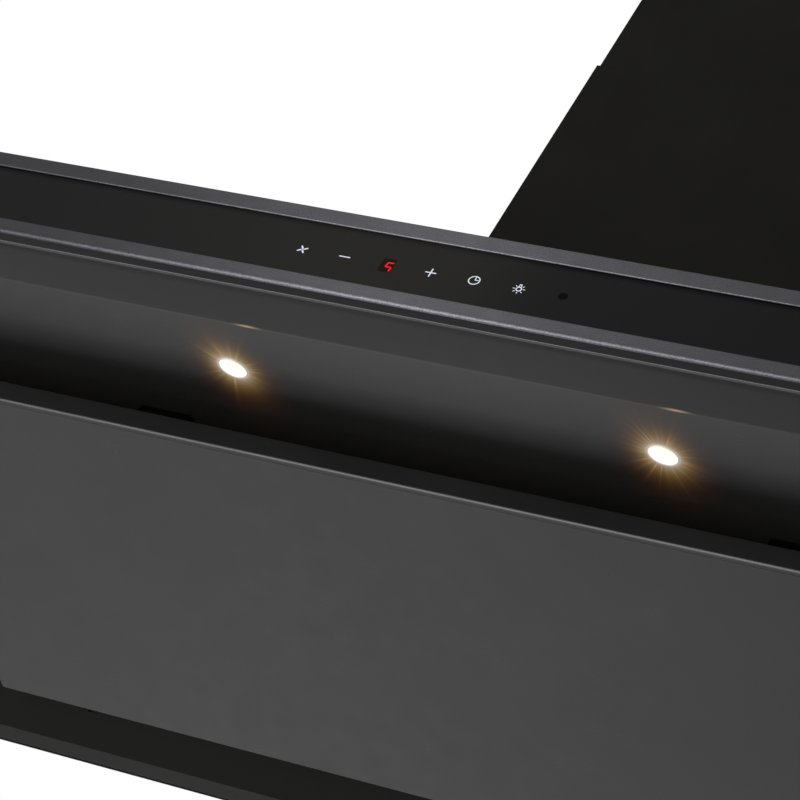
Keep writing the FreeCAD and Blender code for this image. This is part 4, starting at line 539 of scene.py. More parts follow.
def finishes(scene):
    """Every material slot of the record, each with its finish."""
    look = scene.hood_finish
    lamps = scene.hood_lamps
    paint = look.paint_colour
    return {
        "satin_frame": satin_metal("satin_frame_metal", look.frame_colour),
        "black_glass": tinted_glass("black_front_glass", look.glass_colour),
        "canopy_paint": painted_steel("canopy_powder_coat", scaled(paint, 0.6), look.paint_roughness + 0.08,
                                      specular=0.3),
        "plate_paint": light_plate_paint("underside_satin_paint", scaled(paint, 0.5), 0.24, lamps),
        "panel_paint": panel_satin("panel_satin_paint", scaled(paint, 1.8), look.paint_roughness),
        "chimney_paint": painted_steel("chimney_powder_coat", (paint[0] * 0.84, paint[1] * 0.81, paint[2] * 0.67),
                                       look.paint_roughness + 0.1, specular=0.045),
        "lamp_ring": bare_metal("brushed_lamp_ring", (0.32, 0.32, 0.32), 0.3, 700.0, 0.003 * MM),
        "lamp_lens": lit_lens("lit_lamp_lens", lamps),
        "cast_aluminium": bare_metal("cast_aluminium_skin", (0.45, 0.46, 0.47), 0.5, 420.0, 0.03 * MM),
        "black_plastic": moulded_plastic("black_moulded_plastic", (0.02, 0.02, 0.021), 0.45),
        "fan_plastic": moulded_plastic("grey_fan_plastic", (0.1, 0.105, 0.11), 0.4),
        "display_plastic": moulded_plastic("display_plastic", (0.03, 0.008, 0.008), 0.25),
        "circuit_board": circuit_board("green_circuit_board"),
        "capacitor_plastic": moulded_plastic("white_capacitor_plastic", (0.7, 0.7, 0.68), 0.4),
        "zinc_steel": galvanised("galvanised_sheet"),
        "screw_steel": bare_metal("blackened_screw_steel", SCREW_GREY, 0.36, 900.0, 0.004 * MM),
        "bearing_bronze": bare_metal("bearing_bronze", (0.55, 0.36, 0.16), 0.35, 600.0, 0.004 * MM),
        "filter_aluminium": bare_metal("rolled_filter_frame", (0.62, 0.63, 0.64), 0.34, 520.0, 0.004 * MM,
                                       stretch=(0.04, 1.0, 1.0)),
        "mesh_aluminium": expanded_mesh("expanded_filter_mesh"),
    }


def near_black_gap_shade(name, grey, roughness, specular, patch_scale, grain_scale, depth):
    """Dull near-black coating, darkened as painted shade, for small parts that lie in the dark gaps round the
    panel.
    """
    finish = Finish(name, (grey, grey, grey), roughness, specular=specular)
    finish.roughen(finish.noise(patch_scale, 3.0), roughness - 0.1, roughness + 0.1)
    finish.relief(finish.noise(grain_scale, 2.0), depth, edge=0.3 * MM)
    return finish.material


def dress_nodes(scene):
    """Gives each CAD node the finish of its slot, and the magnets and the hinge a near-black one, as painted
    shade of the gaps they lie in.
    """
    ready = finishes(scene)
    for part in frame["record"]["subparts"]:
        slot = part["material_slot"]
        if slot not in ready:
            raise RuntimeError(f"no finish for slot {slot}")
        mesh = frame["nodes"][part["node"]].data
        mesh.materials.clear()
        mesh.materials.append(ready[slot].material)
    # The magnet cases and the hinge parts are darkened to near black, as painted shade of the gaps round the
    # panel.
    case = near_black_gap_shade("magnet_case_gap_shade_black", 0.0012, 0.7, 0.03, 240.0, 500.0, 0.02 * MM)
    hinge = near_black_gap_shade("hinge_steel_gap_shade_black", 0.006, 0.6, 0.1, 300.0, 600.0, 0.01 * MM)
    frame["nodes"]["catch_magnets"].data.materials[0] = case
    for node in ("hinge_brackets", "panel_hinge_ears", "hinge_pins"):
        frame["nodes"][node].data.materials[0] = hinge


# ---- pieces

def once(items):
    """The items in their own order, each one once."""
    return list(dict.fromkeys(items))


def hand_over(name, shape, materials, body, stands_for=(), sheet=False):
    """Makes the mesh an object that rides on a body and, if need be, replaces CAD nodes."""
    bmesh.ops.remove_doubles(shape, verts=shape.verts, dist=1e-7)
    bmesh.ops.recalc_face_normals(shape, faces=shape.faces)
    mesh = bpy.data.meshes.new(name)
    shape.to_mesh(mesh)
    shape.free()
    for material in materials:
        mesh.materials.append(material)
    mesh.polygons.foreach_set("use_smooth", [True] * len(mesh.polygons))
    mesh.set_sharp_from_angle(angle=math.radians(40.0))
    piece = bpy.data.objects.new(name, mesh)
    bpy.context.scene.collection.objects.link(piece)
    if sheet:
        flats = piece.modifiers.new("flat_sheet_between_bends", "WEIGHTED_NORMAL")
        flats.keep_sharp = True
    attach(piece, body)
    if stands_for:
        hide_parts(*stands_for)
    return piece


def copied(node):
    """The node's own shape, with its triangles joined and its flat faces whole."""
    shape = bmesh.new()
    shape.from_mesh(frame["nodes"][node].data)
    bmesh.ops.remove_doubles(shape, verts=shape.verts, dist=1e-6)
    bmesh.ops.dissolve_limit(shape, angle_limit=math.radians(0.3), use_dissolve_boundaries=False,
                             verts=shape.verts, edges=shape.edges)
    return shape


def round_edges(shape, wanted, radius, segments=4):
    """Rounds the sharp edges whose two ends both pass the test."""
    chosen = []
    for edge in shape.edges:
        if len(edge.link_faces) != 2 or edge.calc_face_angle(0.0) < math.radians(8.0):
            continue
        if all(wanted(vert.co) for vert in edge.verts):
            chosen.append(edge)
    if not chosen:
        raise RuntimeError("no edges to round")
    bmesh.ops.bevel(shape, geom=chosen, offset=radius, offset_type="OFFSET", affect="EDGES", segments=segments,
                    profile=0.5, clamp_overlap=True, material=-1)


FRAME_WINDOW = ((-443.0 * MM, 443.0 * MM), (10.8 * MM, 53.4 * MM))
LIP_RADIUS = 0.7 * MM
UNDERSIDE_RADIUS = 0.55 * MM


def rounded_frame(scene):
    """Front frame with rolled lips round the glass and a painted underside."""
    look = scene.hood_finish
    low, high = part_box("front_frame")
    shape = copied("front_frame")

    def on_window(place):
        if abs(place.y - low.y) > 0.05 * MM:
            return False
        beside = any(abs(place.x - side) < 0.1 * MM for side in FRAME_WINDOW[0])
        above = any(abs(place.z - level) < 0.1 * MM for level in FRAME_WINDOW[1])
        return beside or above

    def on_rear_rim(place):
        return abs(place.y - high.y) < 0.05 * MM and place.z < 0.05 * MM

    round_edges(shape, on_window, LIP_RADIUS, segments=5)
    round_edges(shape, on_rear_rim, UNDERSIDE_RADIUS)
    satin = satin_metal("satin_frame_metal_rolled", look.frame_colour)
    under = painted_steel("frame_underside_paint", scaled(look.paint_colour, 0.7), 0.34, specular=0.17)
    for face in shape.faces:
        face.normal_update()
        flat_below = face.normal.z < -0.95 and face.calc_center_median().z < 0.4 * MM
        face.material_index = 1 if flat_below else 0
    hand_over("front_frame_rolled", shape, [satin.material, under.material], "hood",
              stands_for=["front_frame"], sheet=True)


def cut_across(shape, places):
    """Cuts the sheet from side to side at each place from front to back, so that it can bend there."""
    for y in places:
        bmesh.ops.bisect_plane(shape, geom=shape.verts[:] + shape.edges[:] + shape.faces[:], dist=1e-7,
                               plane_co=(0.0, y, 0.0), plane_no=(0.0, 1.0, 0.0))


HEM_START = -491.2 * MM
HEM_RUN = 4.4 * MM
HEM_RISE = 1.05 * MM
HEM_CUTS = 8
RIM_CUTS = [-480.0 * MM, -470.0 * MM]
FOLD_RADIUS = 1.0 * MM


def hem_rise(y):
    """Height of the shallow dip behind the rim's rolled front edge."""
    run = y - HEM_START
    if run <= 0.0 or y >= PLATE_FOLD_Y:
        return 0.0
    if run < HEM_RUN:
        return HEM_RISE * (1.0 - (1.0 - run / HEM_RUN) ** 2)
    return HEM_RISE * (PLATE_FOLD_Y - y) / (PLATE_FOLD_Y - HEM_START - HEM_RUN)


def formed_light_plate(paint):
    """Light plate with a rolled front hem, a dip behind it and a softly bent fold."""
    shape = copied("front_light_plate")
    cut_across(shape, [HEM_START + HEM_RUN * step / HEM_CUTS for step in range(HEM_CUTS + 1)] + RIM_CUTS)
    for vert in shape.verts:
        vert.co.z += hem_rise(vert.co.y)
    round_edges(shape, lambda place: abs(place.y - PLATE_FOLD_Y) < 0.6 * MM and place.z < 0.2 * MM, FOLD_RADIUS)
    hand_over("front_light_plate_formed", shape, [paint], "hood",
              stands_for=["front_light_plate"], sheet=True)


BEAD_BACK = -352.9 * MM
BEAD_RUN = 3.0 * MM
BEAD_DROP = 0.5 * MM
BEAD_CUTS = 6
BEAD_HALF_WIDTH = 388.5 * MM
PANEL_FACE_TOP = 4.0 * MM


def bead_drop(y):
    """How far the panel's rolled front edge hangs below its flat, at a place from front to back."""
    run = min(max((y - BEAD_BACK) / BEAD_RUN, 0.0), 1.0)
    return BEAD_DROP * (1.0 - run) ** 2


def formed_panel(paint):
    """Suction panel with a shallow bead rolled along its front edge."""
    shape = copied("suction_panel")
    cut_across(shape, [BEAD_BACK + BEAD_RUN * step / BEAD_CUTS for step in range(BEAD_CUTS + 1)])
    for vert in shape.verts:
        if vert.co.z < PANEL_FACE_TOP and abs(vert.co.x) < BEAD_HALF_WIDTH:
            vert.co.z -= bead_drop(vert.co.y)
    hand_over("suction_panel_formed", shape, [paint], "suction_panel",
              stands_for=["suction_panel"], sheet=True)


def on_glass(x, z):
    """Stands a flat shape, drawn in its own X and Y, on the glass front with Y pointing up."""
    return Matrix.Translation((x, GLASS_FRONT, z)) @ Matrix.Rotation(math.radians(90.0), 4, "X")


def key(step, across=0.0, up=0.0):
    """Place of the touch key that many steps right of the middle, shifted by millimetres."""
    return on_glass(step * KEY_PITCH + KEY_OFFSET + across * MM, KEY_HEIGHT + up * MM)


def point(across, up):
    return Vector((across * MM, up * MM))


def faces_of(verts):
    return once(face for vert in verts if vert.is_valid for face in vert.link_faces)


def thicken(shape, faces, place):
    """Turns flat faces into a print of real thickness at a place on the glass."""
    raised = bmesh.ops.extrude_face_region(shape, geom=faces)
    tops = [item for item in raised["geom"] if isinstance(item, bmesh.types.BMVert)]
    bmesh.ops.translate(shape, verts=tops, vec=(0.0, 0.0, PRINT_THICKNESS))
    both = tops + [vert for face in faces for vert in face.verts]
    bmesh.ops.transform(shape, matrix=place, verts=once(both))


def bar(shape, start, end, width, place):
    """A printed line with rounded ends."""
    middle = (start + end) / 2.0
    along = end - start
    turn = math.atan2(along.y, along.x)
    verts = bmesh.ops.create_grid(shape, x_segments=1, y_segments=1, size=0.5)["verts"]
    bmesh.ops.scale(shape, verts=verts, vec=(along.length + width, width, 1.0))
    bmesh.ops.rotate(shape, verts=verts, matrix=Matrix.Rotation(turn, 3, "Z"))
    bmesh.ops.translate(shape, verts=verts, vec=(middle.x, middle.y, 0.0))
    rounded = bmesh.ops.bevel(shape, geom=verts, offset=width * 0.46, offset_type="OFFSET", affect="VERTICES",
                              segments=4, profile=0.5, material=-1)
    thicken(shape, faces_of(rounded["verts"]), place)


def loop(shape, radius, width, place, segments=48):
    """A printed ring."""
    made = bmesh.ops.create_circle(shape, cap_ends=True, radius=radius + width / 2.0, segments=segments)
    face = faces_of(made["verts"])[0]
    band = bmesh.ops.inset_region(shape, faces=[face], thickness=width, use_even_offset=True,
                                  use_boundary=True)["faces"]
    bmesh.ops.delete(shape, geom=[face], context="FACES_ONLY")
    thicken(shape, band, place)


def disc(shape, radius, place):
    """A printed dot."""
    made = bmesh.ops.create_circle(shape, cap_ends=True, radius=radius, segments=40)
    thicken(shape, faces_of(made["verts"]), place)


def petal(shape, length, width, turn, place):
    """One leaf-shaped blade of the fan symbol, its root at the middle."""
    verts = bmesh.ops.create_circle(shape, cap_ends=True, radius=0.5, segments=20)["verts"]
    bmesh.ops.scale(shape, verts=verts, vec=(length, width, 1.0))
    bmesh.ops.translate(shape, verts=verts, vec=(length * 0.56, -width * 0.25, 0.0))
    bmesh.ops.rotate(shape, verts=verts, matrix=Matrix.Rotation(turn, 3, "Z"))
    thicken(shape, faces_of(verts), place)


PETAL_LENGTH, PETAL_WIDTH = 3.2 * MM, 1.0 * MM
PETAL_TURNS = (34.0, 125.0, 216.0, 304.0)
MINUS_END = 3.05
PLUS_END = 2.95
CLOCK_RADIUS = 3.15 * MM
BULB_RADIUS = 1.5 * MM
BULB_RAYS = (2.0, 46.0, 135.0, 177.0, 222.0, 268.0, 315.0)
RAY_START, RAY_END = 2.5 * MM, 3.4 * MM
SENSOR_RADIUS = 2.7 * MM


def touch_symbols(scene):
    """Fan, minus, plus, clock and lamp symbols, one mesh of thin print on the glass."""
    symbols = scene.hood_symbols
    width = symbols.stroke
    shape = bmesh.new()

    fan = key(-3, -0.3, -0.3)
    for turn in PETAL_TURNS:
        petal(shape, PETAL_LENGTH, PETAL_WIDTH, math.radians(turn), fan)

    bar(shape, point(-MINUS_END, 0.0), point(MINUS_END, 0.0), width, key(-2, -0.25, -0.15))

    plus = key(0, 0.15, -0.35)
    bar(shape, point(-PLUS_END, 0.0), point(PLUS_END, 0.0), width, plus)
    bar(shape, point(0.0, -PLUS_END), point(0.0, PLUS_END), width, plus)

    clock = key(1, 0.0, -0.2)
    loop(shape, CLOCK_RADIUS, width * 0.85, clock)
    for tip in (point(0.35, 2.7), point(2.3, 0.3)):
        bar(shape, point(0.35, 0.3), tip, width * 0.75, clock)

    lamp = key(2, 0.4, -0.7)
    loop(shape, BULB_RADIUS, width * 0.85, lamp, segments=32)
    for start, end in (((-0.7, 1.6), (-0.5, 3.4)), ((0.7, 1.6), (0.5, 3.4)), ((-0.5, 3.6), (0.5, 3.6))):
        bar(shape, point(*start), point(*end), width * 0.7, lamp)
    for turn in BULB_RAYS:
        ray = Vector((math.cos(math.radians(turn)), math.sin(math.radians(turn))))
        bar(shape, ray * RAY_START, ray * RAY_END, width * 0.62, lamp)

    ink = printed("lit_symbol_print", symbols.print_colour, 0.92)
    hand_over("touch_symbols", shape, [ink.material], "hood")


# The digit's segments, in steps across and up from its middle, and those that are lit to show 5.
SEGMENTS = {
    "top": ((-1.0, 2.0), (1.0, 2.0)),
    "upper_left": ((-1.0, 0.0), (-1.0, 2.0)),
    "upper_right": ((1.0, 0.0), (1.0, 2.0)),
    "middle": ((-1.0, 0.0), (1.0, 0.0)),
    "lower_left": ((-1.0, -2.0), (-1.0, 0.0)),
    "lower_right": ((1.0, -2.0), (1.0, 0.0)),
    "bottom": ((-1.0, -2.0), (1.0, -2.0)),
}
LIT = ("top", "upper_left", "middle", "lower_right")
DIGIT_X, DIGIT_Z = -26.0 * MM, 28.3 * MM
STEP_ACROSS, STEP_UP, SLANT = 1.75 * MM, 1.7 * MM, 0.17 * MM
SEGMENT_GAP = 0.4 * MM
SEGMENT_STROKE = 0.92 * MM
DISPLAY_LOW = Vector((-31.0 * MM, 24.1 * MM))
DISPLAY_HIGH = Vector((-23.2 * MM, 34.9 * MM))


def speed_digits(scene):
    """Seven-segment digit, on the dark face of its module behind the glass."""
    symbols = scene.hood_symbols
    lit, unlit, face = bmesh.new(), bmesh.new(), bmesh.new()
    place = on_glass(DIGIT_X, DIGIT_Z)
    for name, steps in SEGMENTS.items():
        start, end = (Vector((across * STEP_ACROSS + up * SLANT, up * STEP_UP)) for across, up in steps)
        gap = (end - start).normalized() * SEGMENT_GAP
        bar(lit if name in LIT else unlit, start + gap, end - gap, SEGMENT_STROKE, place)
    red = printed("lit_red_segment", symbols.digit_colour, 1.0)
    hand_over("lit_digit_segments", lit, [red.material], "hood")
    off = Finish("unlit_segment", (0.012, 0.003, 0.001), 0.2, specular=0.05)
    off.relief(off.noise(900.0, 1.0), 0.002 * MM)
    hand_over("unlit_digit_segments", unlit, [off.material], "hood")
    made = bmesh.ops.create_grid(face, x_segments=1, y_segments=1, size=0.5)
    size = DISPLAY_HIGH - DISPLAY_LOW
    middle = (DISPLAY_HIGH + DISPLAY_LOW) / 2.0
    bmesh.ops.scale(face, verts=made["verts"], vec=(size.x, size.y, 1.0))
    back = on_glass(middle.x, middle.y) @ Matrix.Translation((0.0, 0.0, -PRINT_THICKNESS / 2.0))
    thicken(face, faces_of(made["verts"]), back)
    tint = Finish("display_face", (0.008, 0.006, 0.0012), 0.2, specular=0.05)
    tint.shade(tint.noise(420.0, 2.0), (0.004, 0.002, 0.0003), (0.011, 0.0085, 0.0014))
    tint.relief(tint.noise(700.0, 1.0), 0.002 * MM)
    hand_over("display_face", face, [tint.material], "hood")


def sensor_window():
    """Dark round window of the remote-control receiver."""
    shape = bmesh.new()
    disc(shape, SENSOR_RADIUS, key(3, -0.3))
    dark = Finish("receiver_window", (0.001, 0.0008, 0.0008), 0.2, specular=0.03)
    dark.roughen(dark.noise(300.0, 2.0), 0.13, 0.2)
    hand_over("receiver_window", shape, [dark.material], "hood")


def lamp_place(side):
    """Stands a lamp piece, turned about Z, square to the light plate at one lamp."""
    return Matrix.Translation((side * LAMP_X, LAMP_Y, LAMP_Z)) @ Matrix.Rotation(PLATE_SLOPE, 4, "X")


def turned(shape, outline, place, steps=64):
    """Turns an outline of (radius, height) points all the way round Z; returns the new faces."""
    verts = [shape.verts.new((radius, 0.0, height)) for radius, height in outline]
    edges = [shape.edges.new(pair) for pair in zip(verts, verts[1:])]
    before = set(shape.faces)
    bmesh.ops.spin(shape, geom=verts + edges, cent=(0.0, 0.0, 0.0), axis=(0.0, 0.0, 1.0), angle=math.tau,
                   steps=steps, use_merge=True)
    bmesh.ops.remove_doubles(shape, verts=shape.verts, dist=1e-7)
    faces = [face for face in shape.faces if face not in before]
    verts = once(vert for face in faces for vert in face.verts)
    bmesh.ops.transform(shape, matrix=place, verts=verts)
    return faces


# Outlines turned round a lamp's axis, as (radius, height above the plate) in millimetres.
RING_OUTLINE = ((9.0, 7.0), (9.0, 0.02), (9.58, 0.0), (9.6, -0.12), (9.5, -0.28), (9.3, -0.37), (9.0, -0.4),
                (8.6, -0.4), (8.35, -0.33), (8.2, -0.18), (8.12, 0.05), (8.1, 2.5), (8.1, 7.0), (9.0, 7.0))
LENS_OUTLINE = ((0.0, 2.15), (2.5, 2.17), (5.0, 2.25), (7.0, 2.36), (7.9, 2.5), (8.0, 2.7), (8.0, 4.0),
                (0.0, 4.0))
RECESS_WALL_RADIUS = 8.15 * MM
RECESS_WALL_LOW, RECESS_WALL_HIGH = 0.1 * MM, 2.6 * MM


def millimetres(points):
    return [(across * MM, up * MM) for across, up in points]


def lamps(scene):
    """Rolled ring, bright recess wall and domed lens for each lamp."""
    ring = lit_ring("rolled_lamp_ring", scene.hood_lamps)
    wall = lit_reflector("lamp_recess_wall")
    lens = lit_lens("glowing_lamp_lens", scene.hood_lamps)
    for side, name in ((-1, "left"), (1, "right")):
        shape = bmesh.new()
        turned(shape, millimetres(RING_OUTLINE), lamp_place(side))
        for face in shape.faces:
            place = lamp_place(side).inverted() @ face.calc_center_median()
            inside = Vector((place.x, place.y)).length < RECESS_WALL_RADIUS
            face.material_index = 1 if inside and RECESS_WALL_LOW < place.z < RECESS_WALL_HIGH else 0
        hand_over(f"lamp_ring_{name}", shape, [ring.material, wall.material], "hood",
                  stands_for=[f"lamp_bezel_{name}"])
        shape = bmesh.new()
        turned(shape, millimetres(LENS_OUTLINE), lamp_place(side))
        hand_over(f"lamp_glass_{name}", shape, [lens.material], "hood",
                  stands_for=[f"lamp_lens_{name}"])


HEAD_HEIGHT = 1.8 * MM
SHANK_RADIUS = 1.9 * MM
SHANK_LENGTH = 6.0 * MM
CANOPY_SCREW_RADIUS = 3.6 * MM
RECESS_HALF_ANGLE = 18.0


def recessed_screw(shape, place, radius):
    """A pan-head screw with a cross recess, its head along +Z and its shank along -Z."""
    profile = ((0.0, 1.0), (0.45, 0.97), (0.75, 0.83), (0.94, 0.55), (1.0, 0.2), (1.0, 0.0))
    outline = [(radius * out, HEAD_HEIGHT * up) for out, up in profile]
    outline += [(SHANK_RADIUS, 0.0), (SHANK_RADIUS, -SHANK_LENGTH * 0.9), (SHANK_RADIUS * 0.7, -SHANK_LENGTH),
                (0.0, -SHANK_LENGTH)]
    head = turned(shape, outline, Matrix.Identity(4), steps=20)
    verts = [vert for face in head for vert in face.verts]
    arms = []
    for face in head:
        centre = face.calc_center_median()
        turn = math.degrees(math.atan2(centre.y, centre.x)) % 90.0
        if centre.z > HEAD_HEIGHT * 0.9 and not RECESS_HALF_ANGLE <= turn <= 90.0 - RECESS_HALF_ANGLE:
            arms.append(face)
    if not arms:
        raise RuntimeError("the screw has no recess")
    sunk = bmesh.ops.inset_region(shape, faces=arms, thickness=radius * 0.05, depth=-HEAD_HEIGHT * 0.42,
                                  use_even_offset=True)
    verts += [vert for face in sunk["faces"] + arms for vert in face.verts]
    bmesh.ops.transform(shape, matrix=place, verts=once(verts))


def side_screws(node, body, steel):
    """The two screws through a cover's sides, each made in the place of its solid."""
    low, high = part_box(node)
    middle = (low + high) / 2.0
    shape = bmesh.new()
    for side in (-1, 1):
        seat = Matrix.Translation((side * (high.x - HEAD_HEIGHT), middle.y, middle.z))
        recessed_screw(shape, seat @ Matrix.Rotation(math.radians(90.0 * side), 4, "Y"), (high.z - low.z) / 2.0)
    hand_over(f"{node}_recessed", shape, [steel.material], body, stands_for=[node])


def canopy_screws(steel):
    """Six screws up into the blower box's flange."""
    low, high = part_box("canopy_screws")
    radius = CANOPY_SCREW_RADIUS
    shape = bmesh.new()
    for x in (low.x + radius, high.x - radius):
        for y in (low.y + radius, (low.y + high.y) / 2.0, high.y - radius):
            seat = Matrix.Translation((x, y, low.z + HEAD_HEIGHT))
            recessed_screw(shape, seat @ Matrix.Rotation(math.radians(180.0), 4, "X"), radius)
    hand_over("canopy_screws_recessed", shape, [steel.material], "hood",
              stands_for=["canopy_screws"])


def latch_springs(steel):
    """The filter latches' coil springs, each copied from its CAD node into a mesh of its own."""
    for side in ("left", "middle", "right"):
        node = f"latch_spring_{side}"
        spring = hand_over(f"{node}_coil", copied(node), [steel.material], "hood",
                           stands_for=[node])
        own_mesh(spring)


# ---- stage

CAMERA_PLACE = (0.6333, -1.5, -0.995)
CAMERA_RIGHT = (0.89532, 0.1572, 0.41675)
CAMERA_UP = (-0.18145, -0.72577, 0.66357)
CAMERA_FORWARD = (-0.40678, 0.66973, 0.62128)
CAMERA_LENS = 130.5

# Area lights: name, place, where it points, size in metres, and brightness.
SOFT_BOXES = (
    ("front_low_soft_box", (-0.5, -1.72, -1.04), (0.0, -0.49, 0.0), (1.6, 1.1), 2.1),
    ("front_fill", (-1.2, -2.9, -0.35), (0.0, -0.49, 0.0), (2.0, 1.8), 0.8),
    ("overhead_soft_box", (0.9, 1.1, 2.7), (0.0, -0.2, 0.4), (2.0, 2.0), 1.6),
)

WHITE = (1.0, 1.0, 1.0, 1.0)

# Where the glow that glossy surfaces mirror lies, and the room's even light on matt ones.
GLOW_DIRECTION = (-0.407, -0.668, 0.623)
ROOM_LIGHT = 0.55

# The floor and its pool of light, and how far the camera sees the floor as plain white, over its shadow.
FLOOR_HALF_SIZE = 9.0
POOL_START, POOL_END, POOL_EDGE = 2.6, 8.5, 0.15
FLOOR_BRIGHTNESS = 0.97
FLOOR_WHITENING = 0.75


def aim_camera(scene):
    """The camera that the photo was taken with, solved from its vanishing points."""
    data = bpy.data.cameras.new("photo_camera")
    data.lens = CAMERA_LENS
    data.sensor_width = 36.0
    data.clip_start = 0.05
    data.clip_end = 60.0
    camera = bpy.data.objects.new("photo_camera", data)
    scene.collection.objects.link(camera)
    turn = Matrix((CAMERA_RIGHT, CAMERA_UP, tuple(-value for value in CAMERA_FORWARD))).transposed()
    camera.matrix_world = Matrix.Translation(CAMERA_PLACE) @ turn.to_4x4()
    scene.camera = camera


def soft_box(scene, name, place, target, size, radiance):
    """An area light of a given brightness, aimed at a target."""
    data = bpy.data.lights.new(name, "AREA")
    data.shape = "RECTANGLE"
    data.size, data.size_y = size
    data.energy = radiance * math.pi * size[0] * size[1]
    light = bpy.data.objects.new(name, data)
    scene.collection.objects.link(light)
    light.location = place
    light.rotation_euler = (Vector(target) - Vector(place)).to_track_quat("-Z", "Y").to_euler()


def surroundings(scene):
    """White backdrop, mirrored as white too, and in front of the hood a dim room with one soft glow."""
    world = bpy.data.worlds.new("studio")
    world.use_nodes = True
    scene.world = world
    studio = Nodes(world.node_tree)

    def background(strength):
        made = studio.add("ShaderNodeBackground")
        made.inputs["Color"].default_value = WHITE
        studio.feed(strength, made.inputs["Strength"])
        return made.outputs[0]

    def ranged(source, limits, values):
        return studio.spread(source, *values, *limits, "SMOOTHSTEP")

    place = studio.add("ShaderNodeTexCoord").outputs["Generated"]
    parts = studio.parts(place)
    toward = studio.add("ShaderNodeVectorMath", operation="DOT_PRODUCT")
    studio.join(place, toward.inputs[0])
    toward.inputs[1].default_value = GLOW_DIRECTION
    room = ranged(parts["Z"], (-0.25, 0.2), (0.3, 0.16))
    front = ranged(parts["Y"], (-0.45, 0.0), (0.22, 0.0))
    glow = ranged(toward.outputs["Value"], (0.955, 1.0), (0.0, 0.5))
    white = background(1.0)
    wall_side = ranged(parts["Y"], (0.0, 0.25), (0.0, 1.0))
    mirrored = studio.mixed(wall_side, background(studio.plus(studio.plus(room, front), glow)), white)
    rays = studio.add("ShaderNodeLightPath").outputs
    soft = studio.mixed(rays["Is Glossy Ray"], background(ROOM_LIGHT), mirrored)
    seen = studio.mixed(studio.larger(rays["Is Camera Ray"], rays["Is Transmission Ray"]), soft, white)
    studio.join(seen, studio.add("ShaderNodeOutputWorld").inputs["Surface"])


def lay_floor(scene):
    """Large pale floor that keeps the hood's soft shadow, with a pool of light below the hood."""
    stage = scene.hood_stage
    shape = bmesh.new()
    bmesh.ops.create_grid(shape, x_segments=8, y_segments=8, size=FLOOR_HALF_SIZE)
    bmesh.ops.translate(shape, verts=shape.verts, vec=(0.0, 0.0, stage.floor_level))
    mesh = bpy.data.meshes.new("floor")
    shape.to_mesh(mesh)
    shape.free()
    floor = bpy.data.objects.new("floor", mesh)
    scene.collection.objects.link(floor)

    finish = Finish("pale_floor", stage.floor_colour, 0.7)
    finish.roughen(finish.noise(3.0, 2.0), 0.62, 0.76)
    reach = finish.add("ShaderNodeVectorMath", operation="LENGTH")
    finish.join(finish.place, reach.inputs[0])
    pool = finish.spread(reach.outputs["Value"], 1.0, POOL_EDGE, POOL_START, POOL_END, "SMOOTHSTEP")

    # The pool is brightest in one band of directions from the hood, and dims on either side of it.
    spot = finish.parts(finish.place)
    bearing = finish.over(spot["X"], finish.larger(finish.plus(spot["Y"], 1.0), 0.3))
    leaning = finish.times(finish.spread(bearing, 0.82, 1.0, -0.66, -0.46),
                           finish.spread(bearing, 1.0, 0.72, -0.4, -0.18))
    rays = finish.add("ShaderNodeLightPath").outputs
    pale = finish.add("ShaderNodeEmission")
    pale.inputs["Color"].default_value = WHITE
    level = finish.larger(finish.times(pool, leaning), rays["Is Camera Ray"])
    finish.join(finish.times(level, FLOOR_BRIGHTNESS), pale.inputs["Strength"])
    mirrored = finish.larger(rays["Is Glossy Ray"], rays["Is Transmission Ray"])
    share = finish.plus(finish.times(rays["Is Camera Ray"], FLOOR_WHITENING), mirrored)
    lit = finish.mixed(share, finish.shader.outputs[0], pale.outputs[0])

    # Seen from underneath, the floor is clear, so that it doesn't hide the hood's lower side.
    below = finish.add("ShaderNodeNewGeometry").outputs["Backfacing"]
    clear = finish.add("ShaderNodeBsdfTransparent").outputs[0]
    finish.join(finish.mixed(below, lit, clear), finish.output.inputs["Surface"])
    mesh.materials.append(finish.material)


# ---- operators

class HOOD_OT_finishes(bpy.types.Operator):
    """Give every CAD node its finish"""
    bl_idname = "hood.finishes"
    bl_label = "Finishes"

    def execute(self, context):
        dress_nodes(context.scene)
        return {"FINISHED"}


class HOOD_OT_sheet_metal(bpy.types.Operator):
    """Roll the frame's lips and form the light plate"""
    bl_idname = "hood.sheet_metal"
    bl_label = "Sheet metal"

    def execute(self, context):
        rounded_frame(context.scene)
        formed_light_plate(frame["nodes"]["front_light_plate"].data.materials[0])
        formed_panel(frame["nodes"]["suction_panel"].data.materials[0])
        return {"FINISHED"}


class HOOD_OT_touch_symbols(bpy.types.Operator):
    """Print the touch symbols on the glass"""
    bl_idname = "hood.touch_symbols"
    bl_label = "Touch symbols"

    def execute(self, context):
        touch_symbols(context.scene)
        return {"FINISHED"}


class HOOD_OT_speed_display(bpy.types.Operator):
    """Add the speed digits and the receiver's window"""
    bl_idname = "hood.speed_display"
    bl_label = "Speed display"

    def execute(self, context):
        speed_digits(context.scene)
        sensor_window()
        return {"FINISHED"}


class HOOD_OT_lamps(bpy.types.Operator):
    """Add the lit lamps in the light plate"""
    bl_idname = "hood.lamps"
    bl_label = "Lamps"

    def execute(self, context):
        lamps(context.scene)
        return {"FINISHED"}


class HOOD_OT_screws(bpy.types.Operator):
    """Add the screws with their cross recesses"""
    bl_idname = "hood.screws"
    bl_label = "Screws"

    def execute(self, context):
        steel = bare_metal("screw_steel_recessed", SCREW_GREY, 0.34, 900.0, 0.003 * MM)
        side_screws("chimney_screws", "hood", steel)
        side_screws("upper_screws", "upper_chimney", steel)
        canopy_screws(steel)
        return {"FINISHED"}


